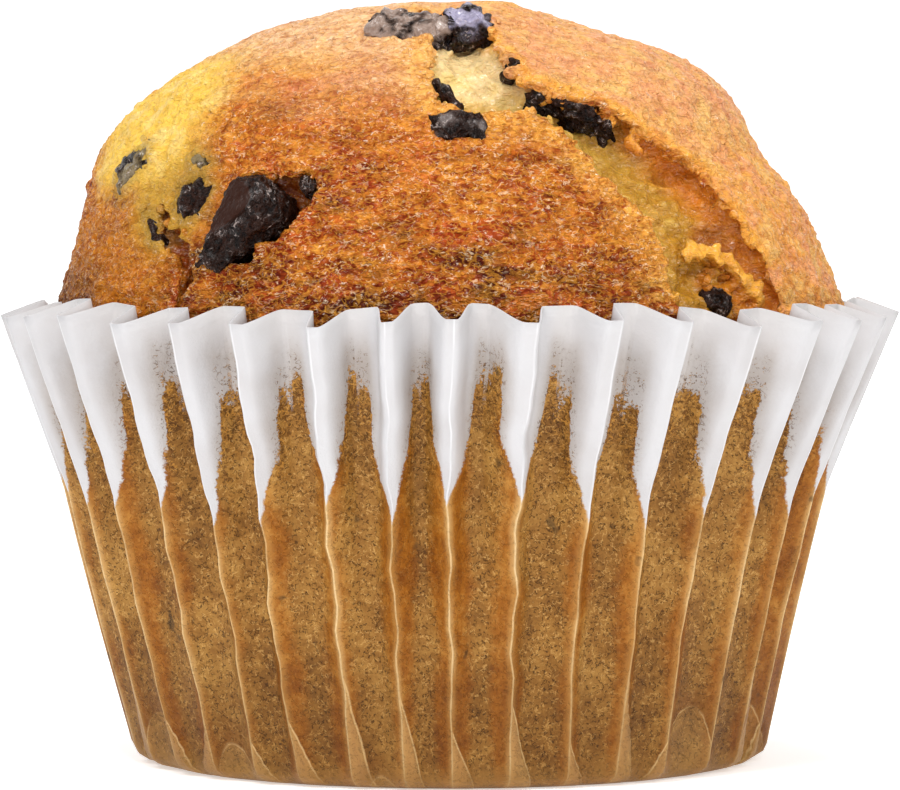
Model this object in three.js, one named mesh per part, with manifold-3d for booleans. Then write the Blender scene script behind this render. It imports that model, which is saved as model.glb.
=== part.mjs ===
// A chocolate chunk muffin standing in its pleated paper baking case, in millimetres.
// +Z is up, the front is towards -Y, and the origin is the middle of the case's foot.
import * as THREE from "three";
import { mergeVertices } from "three/addons/utils/BufferGeometryUtils.js";
import Module from "manifold-3d";

const wasm = await Module();
wasm.setup();

// Driving sizes of the paper case: a 125 round of paper pressed into pleats, foot 50 and rim 72 across.
const pleatCount = 36;
const firstRidge = 1.4; // degrees round from the front
const paperThickness = 0.45;
const fitGap = 0.3; // air left between touching pieces
const footRadius = 22.9;
const cornerRadius = 25.7;
const cornerHeight = 1.5;
const kneeRadius = 30.8; // where the wall leaves the cake and flares
const kneeHeight = 22;
const rimRadius = 36.1;
const rimHeight = 35.6;
const foldRise = 1.2; // the inner folds are steeper, so they end higher than the ridges
const sideLean = 0.4; // the wall bows this far to the left at half its height
const footPleatDepth = 0.35;
const rimPleatDepth = 3.3;
const footPleat = { ridge: 0.07, valley: 0.31 }; // half widths of the flats, in pleats
const rimPleat = { ridge: 0.14, valley: 0.15 };
const waistHeight = 11; // the pleats bow to and fro most at this height
const wallHeights = [cornerHeight, waistHeight, kneeHeight];

// Driving sizes of the cake: a tapered side under a domed top that springs from the rim.
const cakeCornerHeight = 2.4;
const contactHeight = 29; // the side touches the paper up to here
const skirtHeight = 36; // the dome's own centre lies at this height on the axis
const domeRise = 24.5;
const domeBelly = 5.3;
const domeSkirt = 2.0;
const skirtAngle = 9;
const lipHeight = 0.8;
const crackSides = 8;
const crackFlare = 1.1;
const crackClearance = 2.5; // a crack's cutter stands this far out of the crust
const ridgeFill = 0.55; // how far the batter ran into the pleats at the foot
const sideLift = fitGap + paperThickness;

const radians = THREE.MathUtils.degToRad;
const { lerp, smoothstep, clamp } = THREE.MathUtils;
const bump = (value, centre, width) => Math.exp(-(((value - centre) / width) ** 2));

// --- paper case ---

// Hand pleating is uneven: a few harmonics move the ridges round, and the rim up and down.
function ridgeAngle(index) {
  const even = firstRidge + (index * 360) / pleatCount;
  const turn = radians(even);
  return (
    even +
    1.6 * Math.sin(turn + radians(153)) +
    1.5 * Math.sin(3 * turn - radians(139)) +
    0.6 * Math.sin(11 * turn - radians(131))
  );
}

// Each ridge bows a little sideways between the foot and the knee.
function ridgeBow(index, height) {
  const below = (height - cornerHeight) / (waistHeight - cornerHeight);
  const above = (kneeHeight - height) / (kneeHeight - waistHeight);
  return 0.7 * clamp(Math.min(below, above), 0, 1) * Math.sin(index * 2.4 + 0.6);
}

function rimWave(degrees) {
  const turn = radians(degrees);
  return 0.22 * Math.sin(5 * turn + 0.8) + 0.18 * Math.sin(13 * turn + 2.1);
}

function ridgeRadius(height) {
  if (height < kneeHeight) {
    const share = (height - cornerHeight) / (kneeHeight - cornerHeight);
    return lerp(cornerRadius, kneeRadius, share);
  }
  const share = (height - kneeHeight) / (rimHeight - kneeHeight);
  return lerp(kneeRadius, rimRadius, Math.min(share, 1));
}

const pleatDepth = (height) => lerp(footPleatDepth, rimPleatDepth, Math.min(height / rimHeight, 1));

// The corners of one level ring of pleats: ridge left and right, then valley left and right.
function pleatRing(height) {
  const share = Math.min(height / rimHeight, 1);
  const ridgeHalf = lerp(footPleat.ridge, rimPleat.ridge, share);
  const valleyHalf = lerp(footPleat.valley, rimPleat.valley, share);
  const outer = ridgeRadius(height);
  const inner = outer - pleatDepth(height);
  const corners = [];
  for (let i = 0; i < pleatCount; i++) {
    const ridge = ridgeAngle(i) + ridgeBow(i, height);
    const next = ridgeAngle(i + 1) + ridgeBow((i + 1) % pleatCount, height);
    const pitch = next - ridge;
    const valley = ridge + pitch / 2;
    corners.push({ angle: ridge - ridgeHalf * pitch, radius: outer, onRidge: true });
    corners.push({ angle: ridge + ridgeHalf * pitch, radius: outer, onRidge: true });
    corners.push({ angle: valley - valleyHalf * pitch, radius: inner, onRidge: false });
    corners.push({ angle: valley + valleyHalf * pitch, radius: inner, onRidge: false });
  }
  return corners;
}

const planPoint = ({ angle, radius }) =>
  new THREE.Vector2(radius * Math.sin(radians(angle)), -radius * Math.cos(radians(angle)));

// Moves every corner of a closed ring inwards, so that each side keeps the same distance.
function insetRing(corners, distance) {
  const points = corners.map(planPoint);
  return points.map((point, i) => {
    const before = points[(i + points.length - 1) % points.length];
    const after = points[(i + 1) % points.length];
    const sideIn = (from, to) => {
      const side = to.clone().sub(from).normalize();
      return new THREE.Vector2(-side.y, side.x);
    };
    const first = sideIn(before, point);
    const second = sideIn(point, after);
    const mitre = first.add(second).normalize();
    const spread = Math.max(mitre.dot(second), 0.5);
    return point.clone().addScaledVector(mitre, distance / spread);
  });
}

// Turns a stack of rings, each a list of points, into a closed lathe-like solid between two axis points.
function stackOfRings(bottom, rings, top) {
  const columns = rings[0].length;
  const profile = [new THREE.Vector2(0, 0)];
  rings.forEach((ring, row) => profile.push(new THREE.Vector2(1, row + 1)));
  profile.push(new THREE.Vector2(0, rings.length + 1));
  const geometry = new THREE.LatheGeometry(profile, columns);
  const position = geometry.getAttribute("position");
  const rows = profile.length;
  for (let i = 0; i < position.count; i++) {
    const row = i % rows;
    const column = Math.floor(i / rows) % columns;
    const point = row === 0 ? bottom : row === rows - 1 ? top : rings[row - 1][column];
    position.setXYZ(i, point.x, point.y, point.z);
  }
  return geometry;
}

function raised(points, height) {
  const lean = -sideLean * Math.sin((Math.PI * height) / rimHeight);
  return points.map((p) => new THREE.Vector3(p.x + lean, p.y, height));
}

function roundRing(corners, radius, height) {
  return raised(corners.map(({ angle }) => planPoint({ angle, radius })), height);
}

function rimTop(points, corners) {
  return points.map((p, i) => {
    const rise = corners[i].onRidge ? 0 : foldRise;
    return new THREE.Vector3(p.x, p.y, rimHeight + rise + rimWave(corners[i].angle));
  });
}

function caseGeometry() {
  const foot = pleatRing(0);
  const rim = pleatRing(rimHeight);
  const cornerMiddle = (footRadius + cornerRadius) / 2 + 0.5;
  const outside = wallHeights.map((h) => raised(pleatRing(h).map(planPoint), h));
  const inside = wallHeights.map((h) => raised(insetRing(pleatRing(h), paperThickness), h + 0.1));
  const rings = [
    roundRing(foot, footRadius, 0),
    roundRing(foot, cornerMiddle, 0.45),
    ...outside,
    rimTop(rim.map(planPoint), rim),
    rimTop(insetRing(rim, paperThickness), rim),
    ...inside.reverse(),
    roundRing(foot, cornerMiddle - 0.3, 0.45 + paperThickness),
    roundRing(foot, footRadius - 0.2, paperThickness),
  ];
  return stackOfRings(new THREE.Vector3(0, 0, 0), rings, new THREE.Vector3(0, 0, paperThickness));
}

// --- cake ---

// The front crack's path from the top of the dome: azimuth, elevation, half width and depth.
const frontCrack = [
  [-10, 61, 0.9, 1.2],
  [0, 54, 2.6, 2.2],
  [5, 46, 3.2, 2.8],
  [5.5, 39, 3.3, 3.2],
  [13, 35.3, 2.4, 3.2],
  [20.5, 33, 2.2, 3.4],
  [26, 29.5, 2.5, 3.6],
  [31.5, 24.5, 3.0, 3.8],
  [37, 18.5, 3.4, 3.8],
  [41, 11, 3.4, 3.4],
  [42.5, 3.5, 3.4, 2.6],
  [43, -1.5, 2.6, 1.4],
];

// The crust on the right of the front crack has been pushed up into a lip.
function lipLift(azimuth, elevation) {
  const below = frontCrack.findIndex((point) => point[1] < elevation);
  if (below < 1) {
    return 0;
  }
  const [high, low] = [frontCrack[below - 1], frontCrack[below]];
  const share = (elevation - low[1]) / (high[1] - low[1]);
  const past = azimuth - lerp(low[0], high[0], share);
  return past > 0 ? lipHeight * bump(past, 10, 9) * smoothstep(elevation, 0, 14) : 0;
}

// Distance from the dome's centre to its crust, for an azimuth and an elevation in degrees.
function domeRadius(azimuth, elevation) {
  const turn = radians(azimuth);
  const lift = radians(elevation);
  const right = Math.max(Math.sin(turn), 0);
  const left = Math.max(-Math.sin(turn), 0);
  const base =
    domeRise +
    domeBelly * Math.max(Math.cos(lift), 0) ** 1.2 +
    domeSkirt * Math.exp(-Math.max(elevation, 0) / skirtAngle);
  const leftSide = left * (1.3 * bump(elevation, 29, 13) - 0.5 * bump(elevation, 68, 12));
  const rightSide = right * (-1.3 * bump(elevation, 27, 8) - 1.3 * bump(elevation, 62, 15));
  const lumps =
    0.35 * Math.sin(3 * turn + 1) * Math.sin(5 * lift + 0.5) +
    0.25 * Math.sin(7 * turn + 2) * Math.cos(7 * lift);
  const uneven = lumps * smoothstep(elevation, 3, 16) * Math.cos(lift);
  return base + leftSide + rightSide + uneven + lipLift(azimuth, elevation);
}

function outwards(azimuth, elevation) {
  const a = radians(azimuth);
  const e = radians(elevation);
  return new THREE.Vector3(Math.sin(a) * Math.cos(e), -Math.cos(a) * Math.cos(e), Math.sin(e));
}

const domeCentre = new THREE.Vector3(0, 0, skirtHeight);

function domePoint(azimuth, elevation, proud = 0) {
  const direction = outwards(azimuth, elevation);
  return domeCentre.clone().addScaledVector(direction, domeRadius(azimuth, elevation) + proud);
}

// The cake's side has one soft rib for each pleat: rib top, then the two edges of the flat between ribs.
function sideRing(height) {
  const corners = pleatRing(height);
  const fill = ridgeFill * (1 - smoothstep(height, 12, contactHeight));
  const ribs = [];
  for (let i = 0; i < corners.length; i += 4) {
    const [ridge, , valley, valleyEnd] = corners.slice(i, i + 4);
    const ribRadius = lerp(valley.radius, ridge.radius, fill);
    ribs.push({ angle: (ridge.angle + corners[i + 1].angle) / 2, radius: ribRadius });
    ribs.push(valley, valleyEnd);
  }
  return ribs;
}

function cakeGeometry() {
  const foot = sideRing(cakeCornerHeight);
  const columns = sideRing(contactHeight);
  const heights = [cakeCornerHeight, waistHeight, kneeHeight, contactHeight];
  const side = heights.map((h) => raised(insetRing(sideRing(h), sideLift), h));
  const elevations = [0, 4, 9, 14, 19, 24, 29, 34, 39, 45, 51, 58, 66, 75];
  const dome = elevations.map((e) => columns.map(({ angle }) => domePoint(angle, e)));
  const rings = [
    roundRing(foot, footRadius - 0.9, sideLift),
    roundRing(foot, cornerRadius - 2, (sideLift + cakeCornerHeight) / 2),
    ...side,
    ...dome,
  ];
  return stackOfRings(new THREE.Vector3(0, 0, sideLift), rings, domePoint(0, 90));
}

// A crack is a gouge with steep sides and a flat floor along a path of points like the front crack's.
function crackGeometry(path) {
  const last = path.length - 1;
  const geometry = new THREE.CylinderGeometry(1, 1, 1, crackSides, last);
  const position = geometry.getAttribute("position");
  const spine = path.map(([azimuth, elevation]) => domePoint(azimuth, elevation));
  const unit = new THREE.Vector3();
  const steep = (value) => Math.sign(value) * Math.abs(value) ** 0.6;
  for (let i = 0; i < position.count; i++) {
    unit.fromBufferAttribute(position, i);
    unit.set(steep(unit.x), unit.y, steep(unit.z));
    const row = clamp(Math.round((0.5 - unit.y) * last), 0, last);
    const [azimuth, elevation, halfWidth, depth] = path[row];
    const normal = outwards(azimuth, elevation);
    const along = spine[Math.min(row + 1, last)].clone().sub(spine[Math.max(row - 1, 0)]);
    const across = along.normalize().cross(normal).normalize();
    const reach = unit.z > 0 ? crackClearance : depth;
    const point = spine[row].clone();
    point.addScaledVector(across, -unit.x * halfWidth * (unit.z > 0 ? crackFlare : 1));
    point.addScaledVector(normal, unit.z * reach);
    position.setXYZ(i, point.x, point.y, point.z);
  }
  return geometry;
}

const cracks = [
  frontCrack,
  // the torn hollow at the front left
  [
    [-19.5, 21, 0.8, 1.8],
    [-24, 18.8, 1.7, 2.8],
    [-29, 16, 2.5, 3.0],
    [-34, 12, 2.5, 2.8],
    [-38.5, 8, 1.4, 2.4],
    [-40.7, 4, 0.9, 2.0],
    [-41, 0, 0.7, 1.2],
  ],
  [
    [-51, 15.5, 0.5, 1.0],
    [-46.5, 11.5, 1.1, 1.9],
    [-42, 7.5, 1.0, 2.0],
  ],
  // two at the back
  [
    [-168, 52, 0.8, 1.2],
    [-176, 42, 2.0, 2.6],
    [176, 31, 2.4, 3.2],
    [165, 22, 2.4, 3.2],
    [160, 12, 1.9, 2.4],
    [161, 3, 1.2, 1.6],
  ],
  [
    [108, 33, 0.6, 1.0],
    [116, 26, 1.6, 2.2],
    [121, 17, 1.4, 2.0],
    [122, 9, 0.7, 1.2],
  ],
];

// --- chocolate ---

// A chunk lies at an azimuth and elevation, with its middle lifted from the crust or sunk in it. Its size is
// length, width and height, its length is spun up from level, and the big ones are made finer.
const chunks = [
  { name: "left_large", fine: true, at: [-33, 12.8], lift: -0.4, size: [9.4, 4.7, 4.6], spin: 55, taper: 0.4 },
  { name: "left_inner", at: [-43.4, 17.4], lift: -0.9, size: [4.8, 3.8, 3.2], spin: 14, taper: 0.1 },
  { name: "left_outer", at: [-62.6, 21.9], lift: -0.7, size: [5.6, 3.1, 2.8], spin: 32, taper: 0.1 },
  { name: "left_upper", at: [-43.8, 22.9], lift: -0.8, size: [2.5, 2.0, 2.4], spin: -20 },
  { name: "left_sliver", at: [-50.9, 12.6], lift: -0.8, size: [4.4, 1.1, 2.4], spin: -48 },
  { name: "hollow_end", at: [-22.2, 19.6], lift: -1.0, size: [2.2, 1.3, 2.2], spin: 64 },
  { name: "top_left", fine: true, at: [-12.4, 54], lift: -0.4, size: [6.8, 4.9, 2.6], spin: -8, taper: 0.1 },
  { name: "top_right", fine: true, at: [4.6, 54.8], lift: -0.8, size: [4.4, 4.0, 3.2], spin: 20 },
  { name: "window_chip", at: [13.2, 41.8], lift: -1.0, size: [1.6, 1.4, 2.6], spin: 80 },
  { name: "crack_strip", at: [-0.8, 36.2], lift: -0.8, size: [4.2, 1.3, 2.2], spin: -52 },
  { name: "crack_lower", at: [0.9, 29.4], lift: -0.6, size: [4.3, 3.0, 3.0], spin: 4 },
  { name: "crack_right", fine: true, at: [23.6, 32.4], lift: -1.8, size: [7.2, 2.1, 3.4], spin: -22, taper: -0.2 },
  { name: "rim_chip", at: [43.2, 1.9], lift: -2.2, size: [2.6, 2.4, 3.4], spin: 70 },
  { name: "back_crack", at: [173, 28], lift: -1.6, size: [6.2, 2.8, 3.2], spin: 60, taper: 0.2 },
  { name: "back_high", at: [-150, 50], lift: -0.5, size: [5.2, 4.0, 2.8], spin: 15 },
  { name: "back_low", at: [-132, 17], lift: -0.6, size: [4.8, 3.6, 3.0], spin: 35, taper: 0.2 },
  { name: "back_right", at: [121, 16], lift: -1.0, size: [4.2, 3.0, 3.0], spin: 70 },
  { name: "side_right", at: [106, 31], lift: -0.7, size: [4.6, 3.6, 2.8], spin: -30, taper: 0.1 },
  { name: "side_left", at: [-110, 35], lift: -0.7, size: [5.0, 3.4, 2.8], spin: 40, taper: 0.1 },
];

// A lump with blunt corners and uneven faces. grow makes the pocket that it sits in.
function chunkGeometry(chunk, order, grow) {
  const [azimuth, elevation] = chunk.at;
  const [length, width, height] = chunk.size;
  const geometry = new THREE.IcosahedronGeometry(1, chunk.fine ? 2 : 1);
  const position = geometry.getAttribute("position");
  const normal = outwards(azimuth, elevation);
  const east = outwards(azimuth + 90, 0);
  const north = normal.clone().cross(east);
  const turn = radians(chunk.spin);
  const along = east.clone().multiplyScalar(Math.cos(turn)).addScaledVector(north, Math.sin(turn));
  const basis = new THREE.Matrix4().makeBasis(along, normal.clone().cross(along), normal);
  basis.setPosition(domePoint(azimuth, elevation, chunk.lift));
  const p = new THREE.Vector3();
  const blunt = (value) => Math.sign(value) * Math.abs(value) ** 0.82;
  for (let i = 0; i < position.count; i++) {
    p.fromBufferAttribute(position, i);
    const uneven =
      1 + 0.09 * Math.sin(4.1 * p.x + order * 1.7) + 0.08 * Math.sin(5.3 * p.y + order * 2.3) * p.z;
    const narrow = 1 + (chunk.taper ?? 0) * p.x;
    p.set(
      blunt(p.x) * uneven * (length / 2 + grow),
      blunt(p.y) * uneven * (width / 2) * narrow + Math.sign(p.y) * Math.abs(p.y) * grow,
      blunt(p.z) * uneven * (height / 2) * narrow + Math.sign(p.z) * Math.abs(p.z) * grow,
    );
    position.setXYZ(i, p.x, p.y, p.z);
  }
  return geometry.applyMatrix4(basis);
}

// --- joining and cutting ---

function toSolid(geometry) {
  const bare = new THREE.BufferGeometry();
  bare.setAttribute("position", geometry.getAttribute("position"));
  bare.setIndex(geometry.getIndex());
  const merged = mergeVertices(bare, 1e-4);
  const triVerts = new Uint32Array(merged.getIndex().array);
  const vertProperties = merged.getAttribute("position").array;
  const solid = new wasm.Manifold(new wasm.Mesh({ numProp: 3, vertProperties, triVerts }));
  if (solid.volume() > 0) {
    return solid;
  }
  for (let i = 0; i < triVerts.length; i += 3) {
    [triVerts[i + 1], triVerts[i + 2]] = [triVerts[i + 2], triVerts[i + 1]];
  }
  return new wasm.Manifold(new wasm.Mesh({ numProp: 3, vertProperties, triVerts }));
}

function toGeometry(solid) {
  const { vertProperties, triVerts } = solid.getMesh();
  const geometry = new THREE.BufferGeometry();
  geometry.setAttribute("position", new THREE.BufferAttribute(vertProperties, 3));
  geometry.setIndex(new THREE.BufferAttribute(triVerts, 1));
  geometry.computeVertexNormals();
  return geometry;
}

const largest = (solid) => solid.decompose().sort((a, b) => b.volume() - a.volume())[0];

// --- the muffin ---

const crust = new THREE.MeshStandardMaterial({ color: 0xc07a36, roughness: 0.6, metalness: 0 });
const paper = new THREE.MeshStandardMaterial({ color: 0xe6e4e2, roughness: 0.75, metalness: 0 });
const chocolate = new THREE.MeshStandardMaterial({ color: 0x33201a, roughness: 0.35, metalness: 0 });

const muffin = new THREE.Group();

function addPiece(name, solid, material) {
  const mesh = new THREE.Mesh(toGeometry(solid), material);
  mesh.name = name;
  muffin.add(mesh);
}

let cake = toSolid(cakeGeometry());
for (const path of cracks) {
  cake = cake.subtract(toSolid(crackGeometry(path)));
}
chunks.forEach((chunk, order) => {
  cake = cake.subtract(toSolid(chunkGeometry(chunk, order, fitGap + 0.05)));
});

let placed = null;
chunks.forEach((chunk, order) => {
  let lump = toSolid(chunkGeometry(chunk, order, 0));
  if (placed) {
    lump = lump.subtract(placed);
  }
  addPiece("chocolate_" + chunk.name, largest(lump), chocolate);
  const shell = toSolid(chunkGeometry(chunk, order, fitGap));
  placed = placed ? placed.add(shell) : shell;
});
addPiece("cake", largest(cake), crust);
addPiece("paper_case", toSolid(caseGeometry()), paper);

export default muffin;
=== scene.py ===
# A chocolate chunk muffin in its pleated paper case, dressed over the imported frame.
import itertools
import math
from types import SimpleNamespace

import bmesh
import bpy
import numpy as np
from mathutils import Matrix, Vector
from mathutils.bvhtree import BVHTree


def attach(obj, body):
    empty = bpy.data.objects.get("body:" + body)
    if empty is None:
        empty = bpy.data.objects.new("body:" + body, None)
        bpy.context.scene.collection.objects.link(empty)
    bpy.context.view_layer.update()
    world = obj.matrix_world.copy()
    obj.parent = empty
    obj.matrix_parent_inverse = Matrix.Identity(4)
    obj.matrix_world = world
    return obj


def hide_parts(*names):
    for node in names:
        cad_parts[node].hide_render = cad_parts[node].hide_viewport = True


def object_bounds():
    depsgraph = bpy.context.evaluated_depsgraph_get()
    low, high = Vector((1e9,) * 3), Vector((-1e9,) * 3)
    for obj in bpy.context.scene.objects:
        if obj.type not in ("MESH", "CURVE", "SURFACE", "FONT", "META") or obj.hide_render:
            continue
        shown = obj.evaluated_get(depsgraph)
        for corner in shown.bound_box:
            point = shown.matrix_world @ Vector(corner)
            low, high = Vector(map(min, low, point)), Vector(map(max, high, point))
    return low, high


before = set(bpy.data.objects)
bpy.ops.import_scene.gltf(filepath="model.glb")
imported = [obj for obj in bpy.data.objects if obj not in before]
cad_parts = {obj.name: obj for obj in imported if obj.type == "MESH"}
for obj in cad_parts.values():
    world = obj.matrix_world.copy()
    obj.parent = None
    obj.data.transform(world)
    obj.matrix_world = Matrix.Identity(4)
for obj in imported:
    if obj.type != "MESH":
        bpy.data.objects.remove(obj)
cadBox = [list(corner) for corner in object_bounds()]
millimetre = 0.001
print("frame loaded,", len(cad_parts), "nodes")


def smoothStep(value, low, high):
    share = np.clip((value - low) / (high - low), 0, 1)
    return share * share * (3 - 2 * share)


def bump(value, centre, width):
    return np.exp(-(((value - centre) / width) ** 2))


def mix(a, b, share):
    return a + (b - a) * share


def entryFor(cell, shuffled):  # one of 256 entries for each cell
    x, y, z = cell.T
    return shuffled[(x + shuffled[(y + shuffled[z & 255]) & 255]) & 255]


def gradientNoise(points, seed):  # smooth noise, about -1 to 1, one unit a lump
    random = np.random.default_rng(seed)
    shuffled = random.permutation(256)
    slopes = random.normal(size=(256, 3))
    slopes /= np.linalg.norm(slopes, axis=1)[:, None]
    cell = np.floor(points).astype(int)
    inside = points - cell
    fade = inside ** 3 * (inside * (inside * 6 - 15) + 10)
    total = np.zeros(len(points))
    for corner in itertools.product((0, 1), repeat=3):
        slope = slopes[entryFor(cell + corner, shuffled)]
        weight = np.where(corner, fade, 1 - fade).prod(axis=1)
        total += weight * ((inside - corner) * slope).sum(axis=1)
    return total * 1.6


def roughNoise(points, size, seed, layers=3, gain=0.5):  # several sizes of noise at once
    total, strength = 0, 1
    for layer in range(layers):
        total = total + strength * gradientNoise(points / size + 17.3 * layer, seed + layer)
        size, strength = size / 2.03, strength * gain
    return total


def cellNoise(points, size, seed):  # distance to the nearest of scattered points, in cells
    random = np.random.default_rng(seed)
    shuffled = random.permutation(256)
    jitter = random.random((256, 3))
    scaled = points / size
    cell = np.floor(scaled).astype(int)
    nearest = np.full(len(points), 9.0)
    for step in itertools.product((-1, 0, 1), repeat=3):
        corner = cell + step
        place = corner + jitter[entryFor(corner, shuffled)]
        nearest = np.minimum(nearest, np.linalg.norm(scaled - place, axis=1))
    return nearest


def newObject(name, mesh):
    piece = bpy.data.objects.new(name, mesh)
    bpy.context.scene.collection.objects.link(piece)
    return piece


def newMesh(name, points, faces):
    mesh = bpy.data.meshes.new(name)
    mesh.from_pydata([tuple(p) for p in points], [], faces)
    mesh.validate()
    return mesh


def readPoints(mesh):
    flat = np.empty(len(mesh.vertices) * 3)
    mesh.vertices.foreach_get("co", flat)
    return flat.reshape(-1, 3)


def writePoints(mesh, points):
    mesh.vertices.foreach_set("co", np.ascontiguousarray(points, dtype=np.float32).ravel())
    mesh.update()


def readNormals(mesh):
    flat = np.empty(len(mesh.vertices) * 3)
    mesh.vertex_normals.foreach_get("vector", flat)
    return flat.reshape(-1, 3)


topLimit = {"clearance": 0.05, "softness": 0.42}  # millimetres below the frame's top


def underTop(points):  # eases the very top to just below the frame's own
    soft = topLimit["softness"]
    top = cadBox[1][2] / millimetre - topLimit["clearance"]
    over = np.maximum(points[:, 2] - (top - soft), 0)
    points[:, 2] += soft * np.tanh(over / soft) - over


def storeMask(mesh, name, values):
    layer = mesh.attributes.new(name, "FLOAT", "POINT")
    layer.data.foreach_set("value", np.ascontiguousarray(values, dtype=np.float32))


def settle(piece):  # turns live modifiers into plain mesh
    graph = bpy.context.evaluated_depsgraph_get()
    mesh = bpy.data.meshes.new_from_object(piece.evaluated_get(graph))
    piece.modifiers.clear()
    piece.data = mesh
    return mesh


def linear(colour):  # screen colour, 0 to 255, to the renderer's linear light
    share = np.array(colour, dtype=float) / 255
    return np.where(share < 0.04045, share / 12.92, ((share + 0.055) / 1.055) ** 2.4)


def throughTones(share, *tones):  # colours that run evenly through the tones
    stops = np.array([linear(tone) for tone in tones])
    place = np.linspace(0, 1, len(tones))
    return np.stack([np.interp(share, place, channel) for channel in stops.T], axis=1)


def layTone(colours, tone, share):
    return colours + (linear(tone) - colours) * np.clip(share, 0, 1)[:, None]


def storeTone(mesh, colours):
    layer = mesh.attributes.new("tone", "FLOAT_COLOR", "POINT")
    opaque = np.concatenate([colours, np.ones((len(colours), 1))], axis=1)
    layer.data.foreach_set("color", np.ascontiguousarray(opaque, dtype=np.float32).ravel())


def smoothShade(mesh):
    mesh.polygons.foreach_set("use_smooth", np.ones(len(mesh.polygons), dtype=bool))
    mesh.update()


cameraLook = {"lens": 193.5, "place": (0, -0.390, 0.0424), "tiltDown": 1.94}

camera = bpy.data.cameras.new("camera")
camera.lens = cameraLook["lens"]
cameraRig = newObject("camera", camera)
cameraRig.location = cameraLook["place"]
cameraRig.rotation_euler = (math.radians(90 - cameraLook["tiltDown"]), 0, 0)
bpy.context.scene.camera = cameraRig


class Field:  # a socket that can be added, multiplied and so on, in any node tree
    def __init__(self, tree, socket):
        self.tree, self.socket = tree, socket

    def combined(self, operation, *others, clamp=False):
        node = self.tree.nodes.new("ShaderNodeMath")
        node.operation, node.use_clamp = operation, clamp
        for slot, value in zip(node.inputs, (self, *others)):
            feed(self.tree, slot, value)
        return Field(self.tree, node.outputs[0])

    def flipped(self):
        return self * -1 + 1

    def clamped(self):
        return self.combined("ADD", 0, clamp=True)

    def eased(self, low, high):  # smooth step from 0 at low to 1 at high
        node = self.tree.nodes.new("ShaderNodeMapRange")
        node.interpolation_type = "SMOOTHSTEP"
        for slot, value in zip(node.inputs, (self, low, high)):
            feed(self.tree, slot, value)
        return Field(self.tree, node.outputs[0])

    def towards(self, other, share):
        gap = other - self if isinstance(other, Field) else self * -1 + other
        return self + gap * share


def mathsMethod(operation):
    return lambda field, *others: field.combined(operation, *others)


fieldMaths = {
    "__add__": "ADD", "__sub__": "SUBTRACT", "__mul__": "MULTIPLY", "__truediv__": "DIVIDE",
    "__mod__": "FLOORED_MODULO", "power": "POWER", "least": "MINIMUM", "most": "MAXIMUM",
    "above": "GREATER_THAN", "floor": "FLOOR", "size": "ABSOLUTE", "sine": "SINE", "cosine": "COSINE",
}
for method, operation in fieldMaths.items():
    setattr(Field, method, mathsMethod(operation))


def feed(tree, slot, value):  # links a field or a socket into a slot, or sets the slot
    if isinstance(value, Field):
        tree.links.new(value.socket, slot)
    elif isinstance(value, bpy.types.NodeSocket):
        tree.links.new(value, slot)
    else:
        slot.default_value = value


def feedAll(tree, node, inputs):
    for name, value in inputs.items():
        feed(tree, node.inputs[name], value)


def addNode(tree, kind, inputs=None, **settings):
    node = tree.nodes.new(kind)
    for name, value in settings.items():
        setattr(node, name, value)
    feedAll(tree, node, inputs or {})
    return node


def liveOutput(node):  # the one output in use on a node with an output for each data type
    return next(socket for socket in node.outputs if socket.enabled)


def newTree(name, sizes, takesGeometry=False):
    tree = bpy.data.node_groups.new(name, "GeometryNodeTree")
    if takesGeometry:
        tree.interface.new_socket("Geometry", in_out="INPUT", socket_type="NodeSocketGeometry")
    for title, value in sizes.items():
        kind = "NodeSocketInt" if isinstance(value, int) else "NodeSocketFloat"
        tree.interface.new_socket(title, in_out="INPUT", socket_type=kind).default_value = value
    tree.interface.new_socket("Geometry", in_out="OUTPUT", socket_type="NodeSocketGeometry")
    given = tree.nodes.new("NodeGroupInput")
    return tree, given, {title: Field(tree, given.outputs[title]) for title in sizes}


def dressTree(tree, geometry, material):  # gives the geometry its material and hands it on
    dressed = addNode(tree, "GeometryNodeSetMaterial", {"Geometry": geometry, "Material": material})
    tree.links.new(dressed.outputs[0], tree.nodes.new("NodeGroupOutput").inputs[0])
    return tree


def useTree(piece, name, tree, sizes):  # runs the tree on the piece and leaves plain mesh
    shape = piece.modifiers.new(name, "NODES")
    shape.node_group = tree
    for socket in tree.interface.items_tree:
        if socket.in_out == "INPUT" and socket.name in sizes:
            shape[socket.identifier] = sizes[socket.name]
    return settle(piece)


caseSizes = {  # millimetres and shares of a pleat, as the driving sizes of the frame's case
    "Pleats": 36, "Columns per pleat": 28, "Rows": 46, "First ridge": 1.4,
    "Foot radius": 22.9, "Corner radius": 25.7, "Corner height": 1.5,
    "Knee radius": 30.8, "Knee height": 22.0, "Rim radius": 36.1, "Rim height": 35.6,
    "Fold rise": 1.2, "Lean": 0.4, "Foot depth": 0.5, "Rim depth": 3.3, "Depth curve": 1.1,
    "Steep crease": 0.30, "Broad crease": 0.50, "Rim ridge": 0.14,
    "Steep flank": 0.14, "Broad flank": 0.35,
    "Wobble": 0.25, "Tuck reach": 0.40, "Seed": 3,
}
paperThickness = 0.13


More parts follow.
